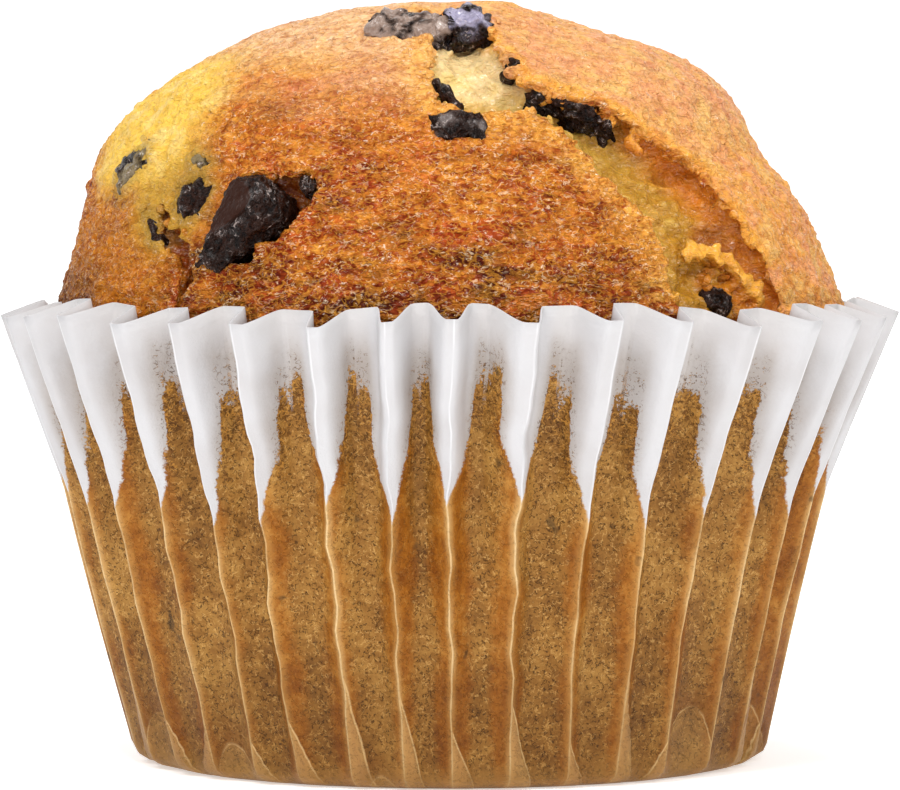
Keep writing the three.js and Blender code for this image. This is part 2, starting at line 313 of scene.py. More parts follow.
def pleatedCaseTree(material):
    tree, _, size = newTree("pleatedCase", caseSizes)
    grid = addNode(tree, "GeometryNodeMeshGrid", {
        "Size X": 1.0, "Size Y": 1.0,
        "Vertices X": size["Pleats"] * size["Columns per pleat"] + 1, "Vertices Y": size["Rows"]})
    place = addNode(tree, "ShaderNodeSeparateXYZ",
                    {"Vector": tree.nodes.new("GeometryNodeInputPosition").outputs[0]})
    around = (Field(tree, place.outputs["X"]) + 0.5) * size["Pleats"] + 0.0001
    up = Field(tree, place.outputs["Y"]) + 0.5
    pleat = around.floor() % size["Pleats"]
    turn = around - around.floor() - 0.5001
    side = turn.above(0) * 2 - 1
    near = (turn.size() * 2).power(1.25) * 0.5     # columns crowd towards the ridge

    def chance(index, salt):  # an even random number for each pleat
        wild = (index * 12.9898 + size["Seed"] * 7.233 + salt).sine() * 437.58
        return wild - wild.floor()

    # height: a flat foot, a rounded corner, then the wall
    footShare, cornerShare = 0.10, 0.18
    foot = (up / footShare).clamped()
    corner = ((up - footShare) / (cornerShare - footShare)).clamped() * (math.pi / 2)
    wall = ((up - cornerShare) / (1 - cornerShare)).clamped()
    cornerRise = size["Corner height"] * corner.cosine().flipped()
    evenHeight = cornerRise + (size["Rim height"] - size["Corner height"]) * wall
    share = evenHeight / size["Rim height"]

    def ridgeAt(index):
        even = (size["First ridge"] + index * (360 / caseSizes["Pleats"])) * (math.pi / 180)
        uneven = ((even + math.radians(153)).sine() * 1.6
                  + (even * 3 - math.radians(139)).sine() * 1.5
                  + (even * 11 - math.radians(131)).sine() * 0.6)
        below = (evenHeight - 1.5) / 9.5
        above = (evenHeight * -1 + 22) / 11
        own = index % size["Pleats"]
        bow = below.least(above).clamped() * (own * 2.4 + 0.6).sine() * 0.7
        ripple = (evenHeight * 0.8 + own * 1.9).sine() + (evenHeight * 1.9 + own * 3.7).sine() * 0.5
        ripple = ripple * size["Wobble"] * (chance(own, 5.1) + 0.3)
        ripple = ripple * below.clamped() * (share.flipped() * 4).clamped()
        return even + (uneven + bow + ripple) * (math.pi / 180)

    ridge = ridgeAt(pleat)
    middle = (ridge + ridgeAt(pleat + side)) * 0.5
    angle = ridge + (middle - ridge) * near * 2

    # how far a column has left the ridge for the valley: 1 on the ridge, 0 in the valley
    flare = share.eased(0.42, 0.95)
    frontal = (side * ridge.sine() * -2.5 + side * (chance(pleat, 1.7) - 0.5) * 0.9 + 0.5).clamped()
    rimFlank = size["Steep flank"].towards(size["Broad flank"], frontal) * (chance(pleat, 3.3) * 0.5 + 0.75)
    rimFlat = size["Rim ridge"] * (frontal * 0.9 + 0.1)
    reach = size["Steep crease"].towards(size["Broad crease"], frontal)
    crease = (near / reach).clamped().flipped().power(1.5)
    fold = crease.towards(near.eased(rimFlat, rimFlat + rimFlank).flipped(), flare)

    # radius of the ridge line, then the pleat's depth below it
    lower = size["Corner radius"].towards(
        size["Knee radius"],
        ((evenHeight - size["Corner height"]) / (size["Knee height"] - size["Corner height"])).clamped())
    upper = ((evenHeight - size["Knee height"]) / (size["Rim height"] - size["Knee height"])).clamped()
    outer = lower + (size["Rim radius"] - size["Knee radius"]) * upper
    depth = size["Foot depth"].towards(size["Rim depth"], share.power(size["Depth curve"]))
    # on one side of about half the ridges the paper is tucked flat near the foot
    tuckTop = chance(pleat, 7.7) * 7 + 3
    tuckSide = (side * (chance(pleat, 9.1) - 0.5)).above(0.03)
    tuckReach = (evenHeight / tuckTop).flipped() * size["Tuck reach"]
    tuckReach = tuckReach + (evenHeight * 1.3 + pleat).sine() * 0.012
    tuck = (tuckReach - near) * tuckSide - tuckSide.flipped()
    # and in some valleys the foot is pushed in below an arc
    valley = (around + 0.5).floor() % size["Pleats"]
    arcTop = chance(valley, 4.3) * 11 - 4.5 - (near * 2).flipped().power(2.2) * 3.0
    arcTop = arcTop + (angle * 41 + valley).sine() * 0.25
    arc = (evenHeight - arcTop).eased(0.3, -0.3) * corner.sine()
    sunk = depth * fold.flipped()
    wallRadius = outer - sunk * (tuck.eased(-0.03, 0.03) * 0.9).flipped() * (arc * 0.4 + 1)
    footRadius = size["Foot radius"] * foot
    cornerReach = corner.sine()
    radius = footRadius + (wallRadius - size["Foot radius"]) * cornerReach

    rimWave = ((angle * 5 + 0.8).sine() * 0.22 + (angle * 13 + 2.1).sine() * 0.18) * wall
    height = evenHeight + (size["Fold rise"] * fold.flipped() * wall.power(3) + rimWave)
    lean = (evenHeight / size["Rim height"] * math.pi).sine() * size["Lean"] * -1
    x = (radius * angle.sine() + lean) * millimetre
    y = radius * angle.cosine() * -millimetre
    spot = addNode(tree, "ShaderNodeCombineXYZ", {"X": x, "Y": y, "Z": height * millimetre})

    geometry = grid.outputs["Mesh"]
    for name, value in (("away", near * 2), ("pleatNumber", pleat), ("valleyNumber", valley),
                        ("rise", height), ("tuck", tuck), ("arc", evenHeight - arcTop)):
        store = addNode(tree, "GeometryNodeStoreNamedAttribute",
                        {"Geometry": geometry, "Name": name}, data_type="FLOAT", domain="POINT")
        feed(tree, next(s for s in store.inputs if s.name == "Value" and s.enabled), value)
        geometry = store.outputs["Geometry"]
    moved = addNode(tree, "GeometryNodeSetPosition", {"Geometry": geometry, "Position": spot.outputs[0]})
    merged = addNode(tree, "GeometryNodeMergeByDistance",
                     {"Geometry": moved.outputs[0], "Distance": 0.000004})
    realized = addNode(tree, "GeometryNodeRealizeInstances", {"Geometry": merged.outputs[0]})
    return dressTree(tree, realized.outputs[0], material)


def faceOutwards(mesh):
    shape = bmesh.new()
    shape.from_mesh(mesh)
    bmesh.ops.recalc_face_normals(shape, faces=shape.faces)
    shape.to_mesh(mesh)
    shape.free()


def makeCase(material):
    piece = newObject("paperCase", bpy.data.meshes.new("paperCase"))
    mesh = useTree(piece, "shape", pleatedCaseTree(material), caseSizes)
    points, normals = readPoints(mesh), readNormals(mesh)
    if (normals * (points - points.mean(axis=0))).sum() < 0:
        mesh.flip_normals()
    wall = piece.modifiers.new("thickness", "SOLIDIFY")
    wall.thickness, wall.offset = paperThickness * millimetre, -1
    mesh = settle(piece)
    smoothShade(mesh)
    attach(piece, "root")
    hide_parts("paper_case")
    print("paper case:", len(mesh.polygons), "faces")


skirtHeight = 36.0  # the dome's own centre, on the axis

frontCrack = {  # lips from the top of the dome to the rim, as (azimuth, elevation) in degrees
    "left": [(-13, 66), (-9, 57), (-4.6, 46.5), (-4.4, 40), (-2.6, 34.5), (3.5, 31.1), (8.4, 32.3),
             (14.6, 33.2), (17.4, 30.6), (21.5, 26.6), (24.4, 20.5), (27.1, 17.7), (31.1, 13.2),
             (32.9, 8.6), (32, 5), (33.2, 1), (33.5, -4)],
    "right": [(-3, 67), (7, 58), (11.2, 48.1), (13.5, 43.9), (14.7, 37.9), (21.1, 35.5), (29.1, 34.3),
              (32.3, 31.8), (35.5, 28.8), (40, 26.2), (44.6, 23.6), (45.5, 20.5), (46.4, 17.4),
              (48.8, 13.7), (49.5, 10.9), (50.9, 7.5), (52, 2), (52, -4)],
    "depth": [0.8, 1.6, 2.0, 2.4, 2.8, 2.8, 2.8, 2.8, 2.6, 2.2, 1.4],
    "undercut": (0.1, 0.9),
}
crumbRuns = [  # torn crumb along a path of azimuth, elevation: lumps, radii, spread and height, mm
    {"path": [(37.6, 9.2), (42.5, 9.6), (47.3, 6.9), (51, 2)], "count": 64, "radii": (0.25, 0.62),
     "spread": 0.34, "proud": -0.75},
    {"path": [(42.5, 5.5), (46, 3.5), (49.5, 0)], "count": 44, "radii": (0.3, 0.65), "spread": 0.8,
     "proud": -1.8},
    {"path": frontCrack["right"][2:15], "count": 150, "radii": (0.2, 0.55), "spread": 0.28,
     "proud": -0.42},
    {"path": frontCrack["left"][1:15], "count": 110, "radii": (0.18, 0.42), "spread": 0.2,
     "proud": -0.3},
    {"path": [(-21, 23), (-25, 22.2), (-30, 21)], "count": 24, "radii": (0.15, 0.35), "spread": 0.2,
     "proud": -0.25},
    {"path": [(-38.4, 9.5), (-38, 6), (-38.6, 1)], "count": 34, "radii": (0.25, 0.6), "spread": 0.3,
     "proud": -0.3},
]
narrowCracks = [  # paths of azimuth, elevation, half width and depth
    [(-20.8, 20.8, 0.7, 1.2), (-24, 18.8, 1.7, 2.6), (-29, 16, 2.6, 3.0), (-34, 12, 2.6, 2.8),
     (-38.5, 8, 1.0, 2.6), (-40.7, 4, 0.5, 2.2), (-41, -2, 0.35, 1.4)],
    [(-52.5, 17, 0.4, 0.8), (-48.5, 12.5, 0.6, 1.8), (-43, 8.5, 0.7, 2.0), (-41, 5, 0.5, 1.6)],
    [(-168, 52, 0.8, 1.2), (-176, 42, 2.0, 2.6), (-184, 31, 2.4, 3.2), (-195, 22, 2.4, 3.2),
     (-200, 12, 1.9, 2.4), (-199, 2, 1.2, 1.6)],
    [(108, 33, 0.6, 1.0), (116, 26, 1.6, 2.2), (121, 17, 1.4, 2.0), (122, 9, 0.7, 1.2)],
]
cakeLook = {"voxel": 0.25, "sideCut": 32.4, "crackNoise": 0.34, "lipRags": 0.5, "lipHeight": 0.8,
            "triangles": 192000}


def lipAzimuth(elevation):  # where the front crack's right lip lies at an elevation
    lip = np.array(frontCrack["right"])
    order = np.argsort(lip[:, 1])
    return np.interp(elevation, lip[order, 1], lip[order, 0])


def domeRadius(azimuth, elevation):  # degrees in, millimetres out
    turn, lift = np.radians(azimuth), np.radians(elevation)
    right, left = np.maximum(np.sin(turn), 0), np.maximum(-np.sin(turn), 0)
    base = (24.5 + 5.3 * np.maximum(np.cos(lift), 0) ** 1.2
            + 2.0 * np.exp(-np.maximum(elevation, 0) / 9))
    sides = (left * (1.3 * bump(elevation, 29, 13) - 0.5 * bump(elevation, 68, 12))
             - right * (1.3 * bump(elevation, 27, 8) + 1.3 * bump(elevation, 62, 15)))
    lumps = (0.35 * np.sin(3 * turn + 1) * np.sin(5 * lift + 0.5)
             + 0.25 * np.sin(7 * turn + 2) * np.cos(7 * lift))
    past = azimuth - lipAzimuth(elevation)
    lip = (cakeLook["lipHeight"] * np.where(past > -1, bump(past, 2, 9), 0)
           * smoothStep(elevation, 0, 14) * (1 - smoothStep(elevation, 44, 58)))
    hump = (0.7 * bump(azimuth, 24, 22) * bump(elevation, 68, 9)
            - 0.6 * bump(azimuth, -4, 7) * bump(elevation, 66, 9))
    return base + sides + hump + lumps * smoothStep(elevation, 3, 16) * np.cos(lift) + lip


def outwards(azimuth, elevation):
    turn, lift = np.radians(azimuth), np.radians(elevation)
    level = np.cos(lift)
    return np.stack([np.sin(turn) * level, -np.cos(turn) * level, np.sin(lift)], axis=-1)


def domePoint(azimuth, elevation, proud=0.0):
    reach = domeRadius(azimuth, elevation) + proud
    return outwards(azimuth, elevation) * reach[..., None] + [0, 0, skirtHeight]


def pleatDepth(height):
    return mix(caseSizes["Foot depth"], caseSizes["Rim depth"], height / caseSizes["Rim height"])


sideLook = {  # millimetres, but for the share of a pleat that a rib fills
    "gap": 0.75, "ribShare": 0.55, "skirtStart": 29, "skirtRadius": 29.83, "skirtRise": 7,
    "rings": (30.5, 22, 11, 2.4, 0.75), "lowest": 2.4, "footRounding": 2.6,
}


def sideRadius(azimuth, height):  # the cake's side inside the case, ribbed where it ran into the pleats
    knee, corner = caseSizes["Knee height"], caseSizes["Corner height"]
    low = mix(caseSizes["Corner radius"], caseSizes["Knee radius"], (height - corner) / (knee - corner))
    high = mix(caseSizes["Knee radius"], caseSizes["Rim radius"],
               (height - knee) / (caseSizes["Rim height"] - knee))
    outer = np.where(height < knee, low, high)
    skirtStart = sideLook["skirtStart"]
    fill = sideLook["ribShare"] * (1 - smoothStep(height, 12, skirtStart))
    rib = 0.5 + 0.5 * np.cos(np.radians((azimuth - caseSizes["First ridge"]) * caseSizes["Pleats"]))
    touching = outer - pleatDepth(height) * (1 - fill * rib ** 3) - sideLook["gap"]
    skirt = mix(sideLook["skirtRadius"], domeRadius(azimuth, np.zeros_like(azimuth)),
                np.clip((height - skirtStart) / sideLook["skirtRise"], 0, 1))
    return np.where(height < skirtStart, touching, skirt)


def ringFaces(rows, columns):  # quads between closed rings, and a fan at each end
    faces = []
    for row in range(rows - 1):
        for column in range(columns):
            here, after = row * columns + column, row * columns + (column + 1) % columns
            faces.append((here, after, after + columns, here + columns))
    bottom, top = rows * columns, rows * columns + 1
    last = (rows - 1) * columns
    for column in range(columns):
        after = (column + 1) % columns
        faces.append((bottom, after, column))
        faces.append((top, last + column, last + after))
    return faces


def roughDome():  # closed, in millimetres, from below the rim to the top
    columns = 320
    azimuth = np.arange(columns) * 360 / columns - 180
    rings = []
    for height in (31.0, 33.0, 34.5):
        radius = sideRadius(azimuth, np.full(columns, height))
        rings.append(np.stack([radius * np.sin(np.radians(azimuth)),
                               -radius * np.cos(np.radians(azimuth)), np.full(columns, height)], axis=1))
    for elevation in np.arange(0, 88.6, 1.5):
        rings.append(domePoint(azimuth, np.full(columns, elevation)))
    points = np.concatenate(rings + [[[0, 0, 31.0]], domePoint(np.zeros(1), np.array([90.0]))])
    return newMesh("dome", points, ringFaces(len(rings), columns))


def resample(values, count):
    values = np.array(values, dtype=float)
    if values.ndim == 1:
        return np.interp(np.linspace(0, 1, count), np.linspace(0, 1, len(values)), values)
    steps = np.linalg.norm(np.diff(values, axis=0), axis=1)
    place = np.concatenate([[0], np.cumsum(steps)])
    wanted = np.linspace(0, place[-1], count)
    return np.stack([np.interp(wanted, place, column) for column in values.T], axis=1)


def crackCutter(left, right, depth, undercut, seed):
    count = 96
    left, right, depth = resample(left, count), resample(right, count), resample(depth, count)
    leftPoint = domePoint(left[:, 0], left[:, 1])
    rightPoint = domePoint(right[:, 0], right[:, 1])
    middle = (leftPoint + rightPoint) / 2
    across = rightPoint - leftPoint
    width = np.linalg.norm(across, axis=1)
    across /= width[:, None]
    outward = middle - [0, 0, skirtHeight]
    outward -= across * (outward * across).sum(axis=1)[:, None]
    outward /= np.linalg.norm(outward, axis=1)[:, None]
    half = width / 2
    # a section from the left lip down, along the floor and up to the right lip
    section = [(-1.06, 0, 3.0), (-1.0, 0, 0.2), (-0.98, 0, -0.15), (-0.90, -undercut[0], -0.38),
               (-0.62, 0, -0.66), (-0.2, 0, -0.86), (0.25, 0, -1.0), (0.62, 0, -0.96),
               (0.90, undercut[1], -0.62), (1.0, undercut[1] * 0.6, -0.3), (1.0, 0, 0.1), (1.04, 0, 3.0)]
    rings = []
    rags = cakeLook["lipRags"] * roughNoise(rightPoint, 1.7, seed + 60, 3, 0.6) * (half / half.max())
    for share, extra, down in section:
        x = share * half + extra + rags * smoothStep(share, 0.5, 1.0)
        z = depth * down if down < 0 else np.full(count, down)
        rings.append(middle + across * x[:, None] + outward * z[:, None])
    points = np.stack(rings, axis=1).reshape(-1, 3)
    rough = cakeLook["crackNoise"]
    for axis in range(3):
        points[:, axis] += rough * roughNoise(points + 50, 2.6, seed + 10 * axis, 3, 0.6)
    sides = len(section)
    faces = []
    for row in range(count - 1):
        for side in range(sides):
            here, after = row * sides + side, row * sides + (side + 1) % sides
            faces.append((here, here + sides, after + sides, after))
    faces.append(tuple(range(sides)))
    faces.append(tuple(reversed(range((count - 1) * sides, count * sides))))
    mesh = newMesh("cutter", points, faces)
    faceOutwards(mesh)
    return mesh


def pathToLips(path):
    azimuth, elevation, half, depth = np.array(path, dtype=float).T
    spine = domePoint(azimuth, elevation)
    along = np.gradient(spine, axis=0)
    across = np.cross(outwards(azimuth, elevation), along)
    across /= np.linalg.norm(across, axis=1)[:, None]
    lips = []
    for sign in (-1, 1):
        point = spine + across * (half * sign)[:, None] - [0, 0, skirtHeight]
        lips.append(np.stack([np.degrees(np.unwrap(np.arctan2(point[:, 0], -point[:, 1]))),
                              np.degrees(np.arctan2(point[:, 2], np.hypot(point[:, 0], point[:, 1])))],
                             axis=1))
    return lips[0], lips[1], depth


def addCrumbRuns(mesh):  # the remeshing melts them into the cake
    shape = bmesh.new()
    shape.from_mesh(mesh)
    random = np.random.default_rng(5)
    for run in crumbRuns:
        spots = resample(run["path"], run["count"])
        for azimuth, elevation in spots + random.normal(size=spots.shape) * run["spread"] * 2:
            radius = mix(*run["radii"], random.random() ** 1.5)
            spot = domePoint(np.array([azimuth]), np.array([elevation]),
                             run["proud"] + 0.2 * random.normal())[0]
            lump = bmesh.ops.create_icosphere(shape, subdivisions=2, radius=radius)["verts"]
            points = np.array([v.co for v in lump])
            points *= 1 + 0.55 * roughNoise(points + spot, 0.9 * radius + 0.2, 71, 2)[:, None]
            points = points * random.uniform(0.65, 1.35, 3) + spot
            for vert, point in zip(lump, points):
                vert.co = point
    shape.to_mesh(mesh)
    shape.free()


def cutAndRemesh():
    dome = newObject("muffinCake", roughDome())
    faceOutwards(dome.data)
    cutters = [crackCutter(frontCrack["left"], frontCrack["right"], frontCrack["depth"],
                           frontCrack["undercut"], 11)]
    for number, path in enumerate(narrowCracks):
        left, right, depth = pathToLips(path)
        cutters.append(crackCutter(left, right, depth, (0.15, 0.3), 31 + number))
    for number, mesh in enumerate(cutters):
        tool = newObject(f"cutter{number}", mesh)
        cut = dome.modifiers.new("cut", "BOOLEAN")
        cut.operation, cut.object, cut.solver = "DIFFERENCE", tool, "EXACT"
        settle(dome)
        bpy.data.objects.remove(tool)
    addCrumbRuns(dome.data)
    even = dome.modifiers.new("even", "REMESH")
    even.mode, even.voxel_size, even.adaptivity = "VOXEL", cakeLook["voxel"], 0
    settle(dome)
    print("dome cut and remeshed:", len(dome.data.polygons), "faces")
    return dome


def closeBelow(dome):  # replaces the dome's flat underside by the side and foot inside the case
    shape = bmesh.new()
    shape.from_mesh(dome.data)
    low = [v for v in shape.verts if v.co.z < cakeLook["sideCut"]]
    bmesh.ops.delete(shape, geom=low, context="VERTS")
    loose = [v for v in shape.verts if not v.link_faces]
    bmesh.ops.delete(shape, geom=loose, context="VERTS")
    edge = next(e for e in shape.edges if e.is_boundary)
    loop, vert = [edge.verts[0]], edge.verts[1]
    while vert is not loop[0]:
        loop.append(vert)
        edge = next(e for e in vert.link_edges if e.is_boundary and e is not edge)
        vert = edge.other_vert(vert)
    place = np.array([v.co for v in loop])
    angle = np.unwrap(np.arctan2(place[:, 0], -place[:, 1]))
    direction = np.sign(angle[-1] - angle[0])
    even = angle[0] + direction * 2 * np.pi * np.arange(len(loop)) / len(loop)
    even += (angle - even).mean()
    above = loop
    lowest, foot = sideLook["lowest"], sideLook["rings"][-1]
    for height in sideLook["rings"]:
        radius = sideRadius(np.degrees(even), np.full(len(loop), max(height, lowest)))
        radius = radius - (sideLook["footRounding"] if height == foot else 0)
        ring = [shape.verts.new((r * math.sin(a), -r * math.cos(a), height))
                for r, a in zip(radius, even)]
        for number in range(len(loop)):
            after = (number + 1) % len(loop)
            shape.faces.new((above[number], above[after], ring[after], ring[number]))
        above = ring
    centre = shape.verts.new((0, 0, foot))
    for number in range(len(loop)):
        shape.faces.new((above[number], above[(number + 1) % len(loop)], centre))
    bmesh.ops.recalc_face_normals(shape, faces=shape.faces)
    shape.to_mesh(dome.data)
    shape.free()


def angles(points):
    flat = np.hypot(points[:, 0], points[:, 1])
    azimuth = np.degrees(np.arctan2(points[:, 0], -points[:, 1]))
    return azimuth, np.degrees(np.arctan2(points[:, 2] - skirtHeight, flat))


def distanceTo(node, points, reach):  # from points to a node's surface, in millimetres
    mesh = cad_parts[node].data
    corners = readPoints(mesh) / millimetre
    tree = BVHTree.FromPolygons([Vector(c) for c in corners], [tuple(p.vertices) for p in mesh.polygons])
    low, high = corners.min(axis=0) - reach, corners.max(axis=0) + reach
    close = np.nonzero(((points > low) & (points < high)).all(axis=1))[0]
    distance = np.full(len(points), 9.0)
    for number in close:
        spot, normal, _, far = tree.find_nearest(Vector(points[number]))
        inside = (Vector(points[number]) - spot).dot(normal) < 0
        distance[number] = -far if inside else far
    return distance


cakeTone = {  # screen colours, 0 to 255
    "gold": (240, 180, 86), "toast": (220, 142, 50), "brown": (190, 98, 22), "dark": (146, 58, 10),
    "darkest": (90, 32, 5), "red": (200, 88, 34), "lipGold": (250, 186, 86), "top": (250, 207, 160),
    "tan": (238, 177, 118), "tanPink": (236, 163, 119), "tanLow": (242, 176, 88),
    "tanGold": (244, 195, 117), "tanDark": (232, 158, 76),
    "pale": (246, 203, 86), "paleWhite": (248, 220, 136), "olive": (194, 148, 54),
    "knobbly": (198, 116, 20), "edge": (246, 170, 62), "window": (244, 224, 168), "green": (230, 208, 112),
    "crumb": (200, 163, 68), "crumbLow": (178, 130, 28), "wall": (216, 124, 30), "shade": (140, 62, 10),
    "flap": (244, 176, 60), "cavity": (142, 62, 8), "halo": (138, 112, 56), "moist": (234, 208, 112),
}


def distanceToPath(points, path):
    line = resample(path, 160)
    spots = domePoint(line[:, 0], line[:, 1])
    return np.concatenate([np.linalg.norm(part[:, None] - spots, axis=2).min(axis=1)
                           for part in np.array_split(points, 40)])


def layTones(colours, *layers):  # each layer names a cake tone and says how much of it shows
    for name, share in layers:
        colours = layTone(colours, cakeTone[name], share)
    return colours


def tonesNamed(*names):
    return [cakeTone[name] for name in names]


def crustTones(points, at):
    azimuth, elevation, mottled, blotches = at.azimuth, at.elevation, at.mottled, at.blotches
    browning = 0.58 - 0.32 * smoothStep(elevation, 18, 56) + 0.26 * (1 - smoothStep(elevation, 0, 14))
    browning += 0.16 * mottled
    browning += (0.12 + 0.22 * at.low) * roughNoise(points * [0.45, 0.45, 1.5], 2.6, 211, 4, 0.7)
    browning -= 0.12 * smoothStep(-azimuth, 12, 32) * smoothStep(elevation, 16, 30)
    baked = tonesNamed("gold", "toast", "brown", "dark", "darkest")
    reddish = roughNoise(points * [1, 1, 1.6], 4, 231, 3)
    reddish = reddish + 0.4 * bump(azimuth, -22, 12) * bump(elevation, 38, 10)
    crust = layTones(
        throughTones(np.clip(browning, 0, 1), *baked),
        ("red", 0.65 * smoothStep(reddish, 0.0, 0.7)),
        ("top", 0.85 * smoothStep(elevation + 5 * mottled, 30, 52)))
    tanned = smoothStep(elevation, 40, 4) + 0.25 * mottled
    tan = layTones(
        throughTones(tanned, *tonesNamed("tan", "tanLow", "tanDark")),
        ("tanPink", smoothStep(blotches, 0.0, 0.5) * 0.7),
        ("tanGold", smoothStep(-blotches, 0.1, 0.6) * 0.8))
    crust += (tan - crust) * at.rightLobe[:, None]
    paleShare = smoothStep(at.pale, 0.1, 0.95)
    lipShare = (1 - smoothStep(at.left + 0.8 * blotches, 0.4, 3.4)) * (elevation > 2)
    rightEdge = (1 - smoothStep(at.right + 0.5 * blotches, 0.4, 1.5)) * at.rightLobe
    return layTones(
        crust,
        ("knobbly", 0.8 * at.knobbly),
        ("darkest", 0.85 * smoothStep(-azimuth, 56, 68) * bump(elevation, 0, 9)),
        ("olive", smoothStep(at.olive, 0.25, 0.8)),
        ("pale", paleShare),
        ("paleWhite", paleShare * smoothStep(blotches, 0.0, 0.7) * 0.8),
        ("lipGold", 0.7 * lipShare * (1 - at.rightLobe)),
        ("edge", 0.75 * rightEdge))


def tornTones(points, depth, at):  # pale on the low side, browner on the wall under the proud lip, with painted shade under the lip and in the hollow above the flap
    elevation, mottled, blotches = at.elevation, at.mottled, at.blotches
    across = at.left / (at.left + at.right)
    windowShare = smoothStep(elevation, 35, 41) * (1 - smoothStep(across, 0.7, 0.9))
    wall = smoothStep(across + 0.12 * mottled, 0.58, 0.78) * (1 - smoothStep(elevation, 34, 42))
    hollow = np.linalg.norm(points - domePoint(np.array([46.3]), np.array([10.8]), -2)[0], axis=1)
    moist = (1 - smoothStep(across + 0.25 * blotches, 0.12, 0.5)) * smoothStep(elevation, 2, 12)
    flap, body = (distanceToPath(points, run["path"]) for run in crumbRuns[:2])
    browned = smoothStep(elevation, 36, 8) + 0.2 * mottled
    return layTones(
        throughTones(browned, *tonesNamed("crumb", "crumbLow")),
        ("window", windowShare),
        ("green", 0.5 * windowShare * smoothStep(blotches, 0.1, 0.7)),
        ("wall", wall),
        # painted shade under the proud right lip
        ("shade", 0.3 * wall * smoothStep(across, 0.75, 0.9)),
        ("edge", 0.8 * (1 - smoothStep(at.right + 0.5 * blotches, 0.5, 1.7))),
        # painted shade in the hollow above the flap
        ("shade", 0.9 * (1 - smoothStep(hollow, 1.2, 2.6))),
        ("moist", 0.75 * moist * (1 - windowShare)),
        ("knobbly", 0.85 * (1 - smoothStep(body + 0.6 * blotches, 1.4, 2.4))),
        ("flap", 0.9 * (1 - smoothStep(flap + 0.3 * blotches, 0.7, 1.3))),
        ("knobbly", at.narrow * 0.9),
        # painted shade, darker the deeper the narrow crack
        ("cavity", at.narrow * smoothStep(depth, 0.3, 1.0)))


def cakeTones(points, torn, depth, nearest):
    azimuth, elevation = angles(points)
    mottled = roughNoise(points * [1, 1, 2.2], 9, 201, 3)
    past = (azimuth - lipAzimuth(elevation)) * np.cos(np.radians(elevation)) * 0.53
    paleSpot = bump(azimuth, -66, 21) * bump(elevation, 32, 14) * 1.4 + 0.22 * mottled
    paleBack = bump(azimuth, 152, 20) * bump(elevation, 40, 12) + 0.22 * mottled
    left, right = (distanceToPath(points, frontCrack[side]) for side in ("left", "right"))
    at = SimpleNamespace(
        azimuth=azimuth, elevation=elevation, mottled=mottled, left=left, right=right,
        blotches=roughNoise(points, 2.6, 221, 4, 0.65), low=1 - smoothStep(elevation, 18, 42),
        rightLobe=smoothStep(past, -1.0, 0.4) * (1 - smoothStep(azimuth, 125, 160)),
        knobbly=smoothStep(-azimuth, 38, 50) * (1 - smoothStep(elevation, 10, 22)) * (azimuth > -110),
        pale=np.maximum(paleSpot, paleBack), narrow=np.minimum(left, right) > 8,
        olive=bump(azimuth, -49, 11) * bump(elevation, 18, 9) * 1.3 + 0.15 * mottled)
    crust, crumb = crustTones(points, at), tornTones(points, depth, at)
    besideChunk = 0.45 * (1 - smoothStep(nearest, 0.1, 0.8))
    colours = layTones(
        crust + (crumb - crust) * torn[:, None],
        ("edge", 0.75 * bump(torn, 0.55, 0.35) * ~at.narrow),
        ("halo", besideChunk * (np.abs(azimuth + 54) < 16)))
    # how far the crust's strings, painted glints and painted shade in the gaps are held back
    pale = smoothStep(np.maximum(at.pale, at.olive), 0.2, 0.7)
    calm = np.maximum(np.maximum(0.6 * at.rightLobe, 0.8 * pale), torn * mix(0.7, 0.9, elevation > 36))
    return colours, np.maximum(calm, np.maximum(0.42 * (1 - at.low), 0.4 * at.knobbly))


def readMask(mesh, name):
    values = np.empty(len(mesh.vertices))
    mesh.attributes[name].data.foreach_get("value", values)
    return values


def triangleCount(mesh):
    return sum(len(polygon.vertices) - 2 for polygon in mesh.polygons)


def thinned(piece, azimuth, height):  # keeps the mesh finest at the front and top
    away = smoothStep(np.abs(azimuth), 70, 100) * (1 - smoothStep(height, 55, 60))
    group = piece.vertex_groups.new(name="plain")
    shares = np.round(0.12 + 0.88 * np.maximum(away, 1 - smoothStep(height, 31, 34)), 1)
    for share in np.unique(shares):
        group.add(np.nonzero(shares == share)[0].tolist(), float(share), "REPLACE")
    count = triangleCount(piece.data)
    thin = piece.modifiers.new("thin", "DECIMATE")
    thin.ratio, thin.vertex_group = min(1, cakeLook["triangles"] / count), "plain"
    mesh = settle(piece)
    print("thinned from", count, "to", triangleCount(mesh), "triangles")
    return mesh


def cakeRelief(points, azimuth, elevation, torn, shown):
    # crust: soft lumps, streaked grain and pits
    flat = points * [1, 1, 1.9]
    swell = 0.22 * roughNoise(points, 6.5, 101, 2)
    grain = 0.14 * roughNoise(flat, 1.4, 111, 3, 0.7) - 0.12 * np.abs(roughNoise(flat, 1.0, 121, 2))
    streaks = roughNoise(points * [0.5, 0.5, 1.5], 1.6, 125, 2)
    grain += 0.16 * streaks * (1 - smoothStep(elevation, 30, 50)) * (np.abs(azimuth) < 130)
    pits = -0.28 * (1 - smoothStep(cellNoise(points, 2.6, 131), 0.10, 0.26))
    # torn crumb: cells and rags
    crumbCells = 0.5 * (smoothStep(cellNoise(points, 2.0, 141), 0.1, 0.8) - 0.5)
    fineCells = 0.34 * (smoothStep(cellNoise(points, 1.1, 145), 0.1, 0.7) - 0.5)
    crumbCells += fineCells * (1 - 0.6 * smoothStep(elevation, 35, 41))
    rags = 0.26 * roughNoise(points, 1.3, 151, 4, 0.6)
    return mix(swell + grain + pits, rags - crumbCells, torn) * shown


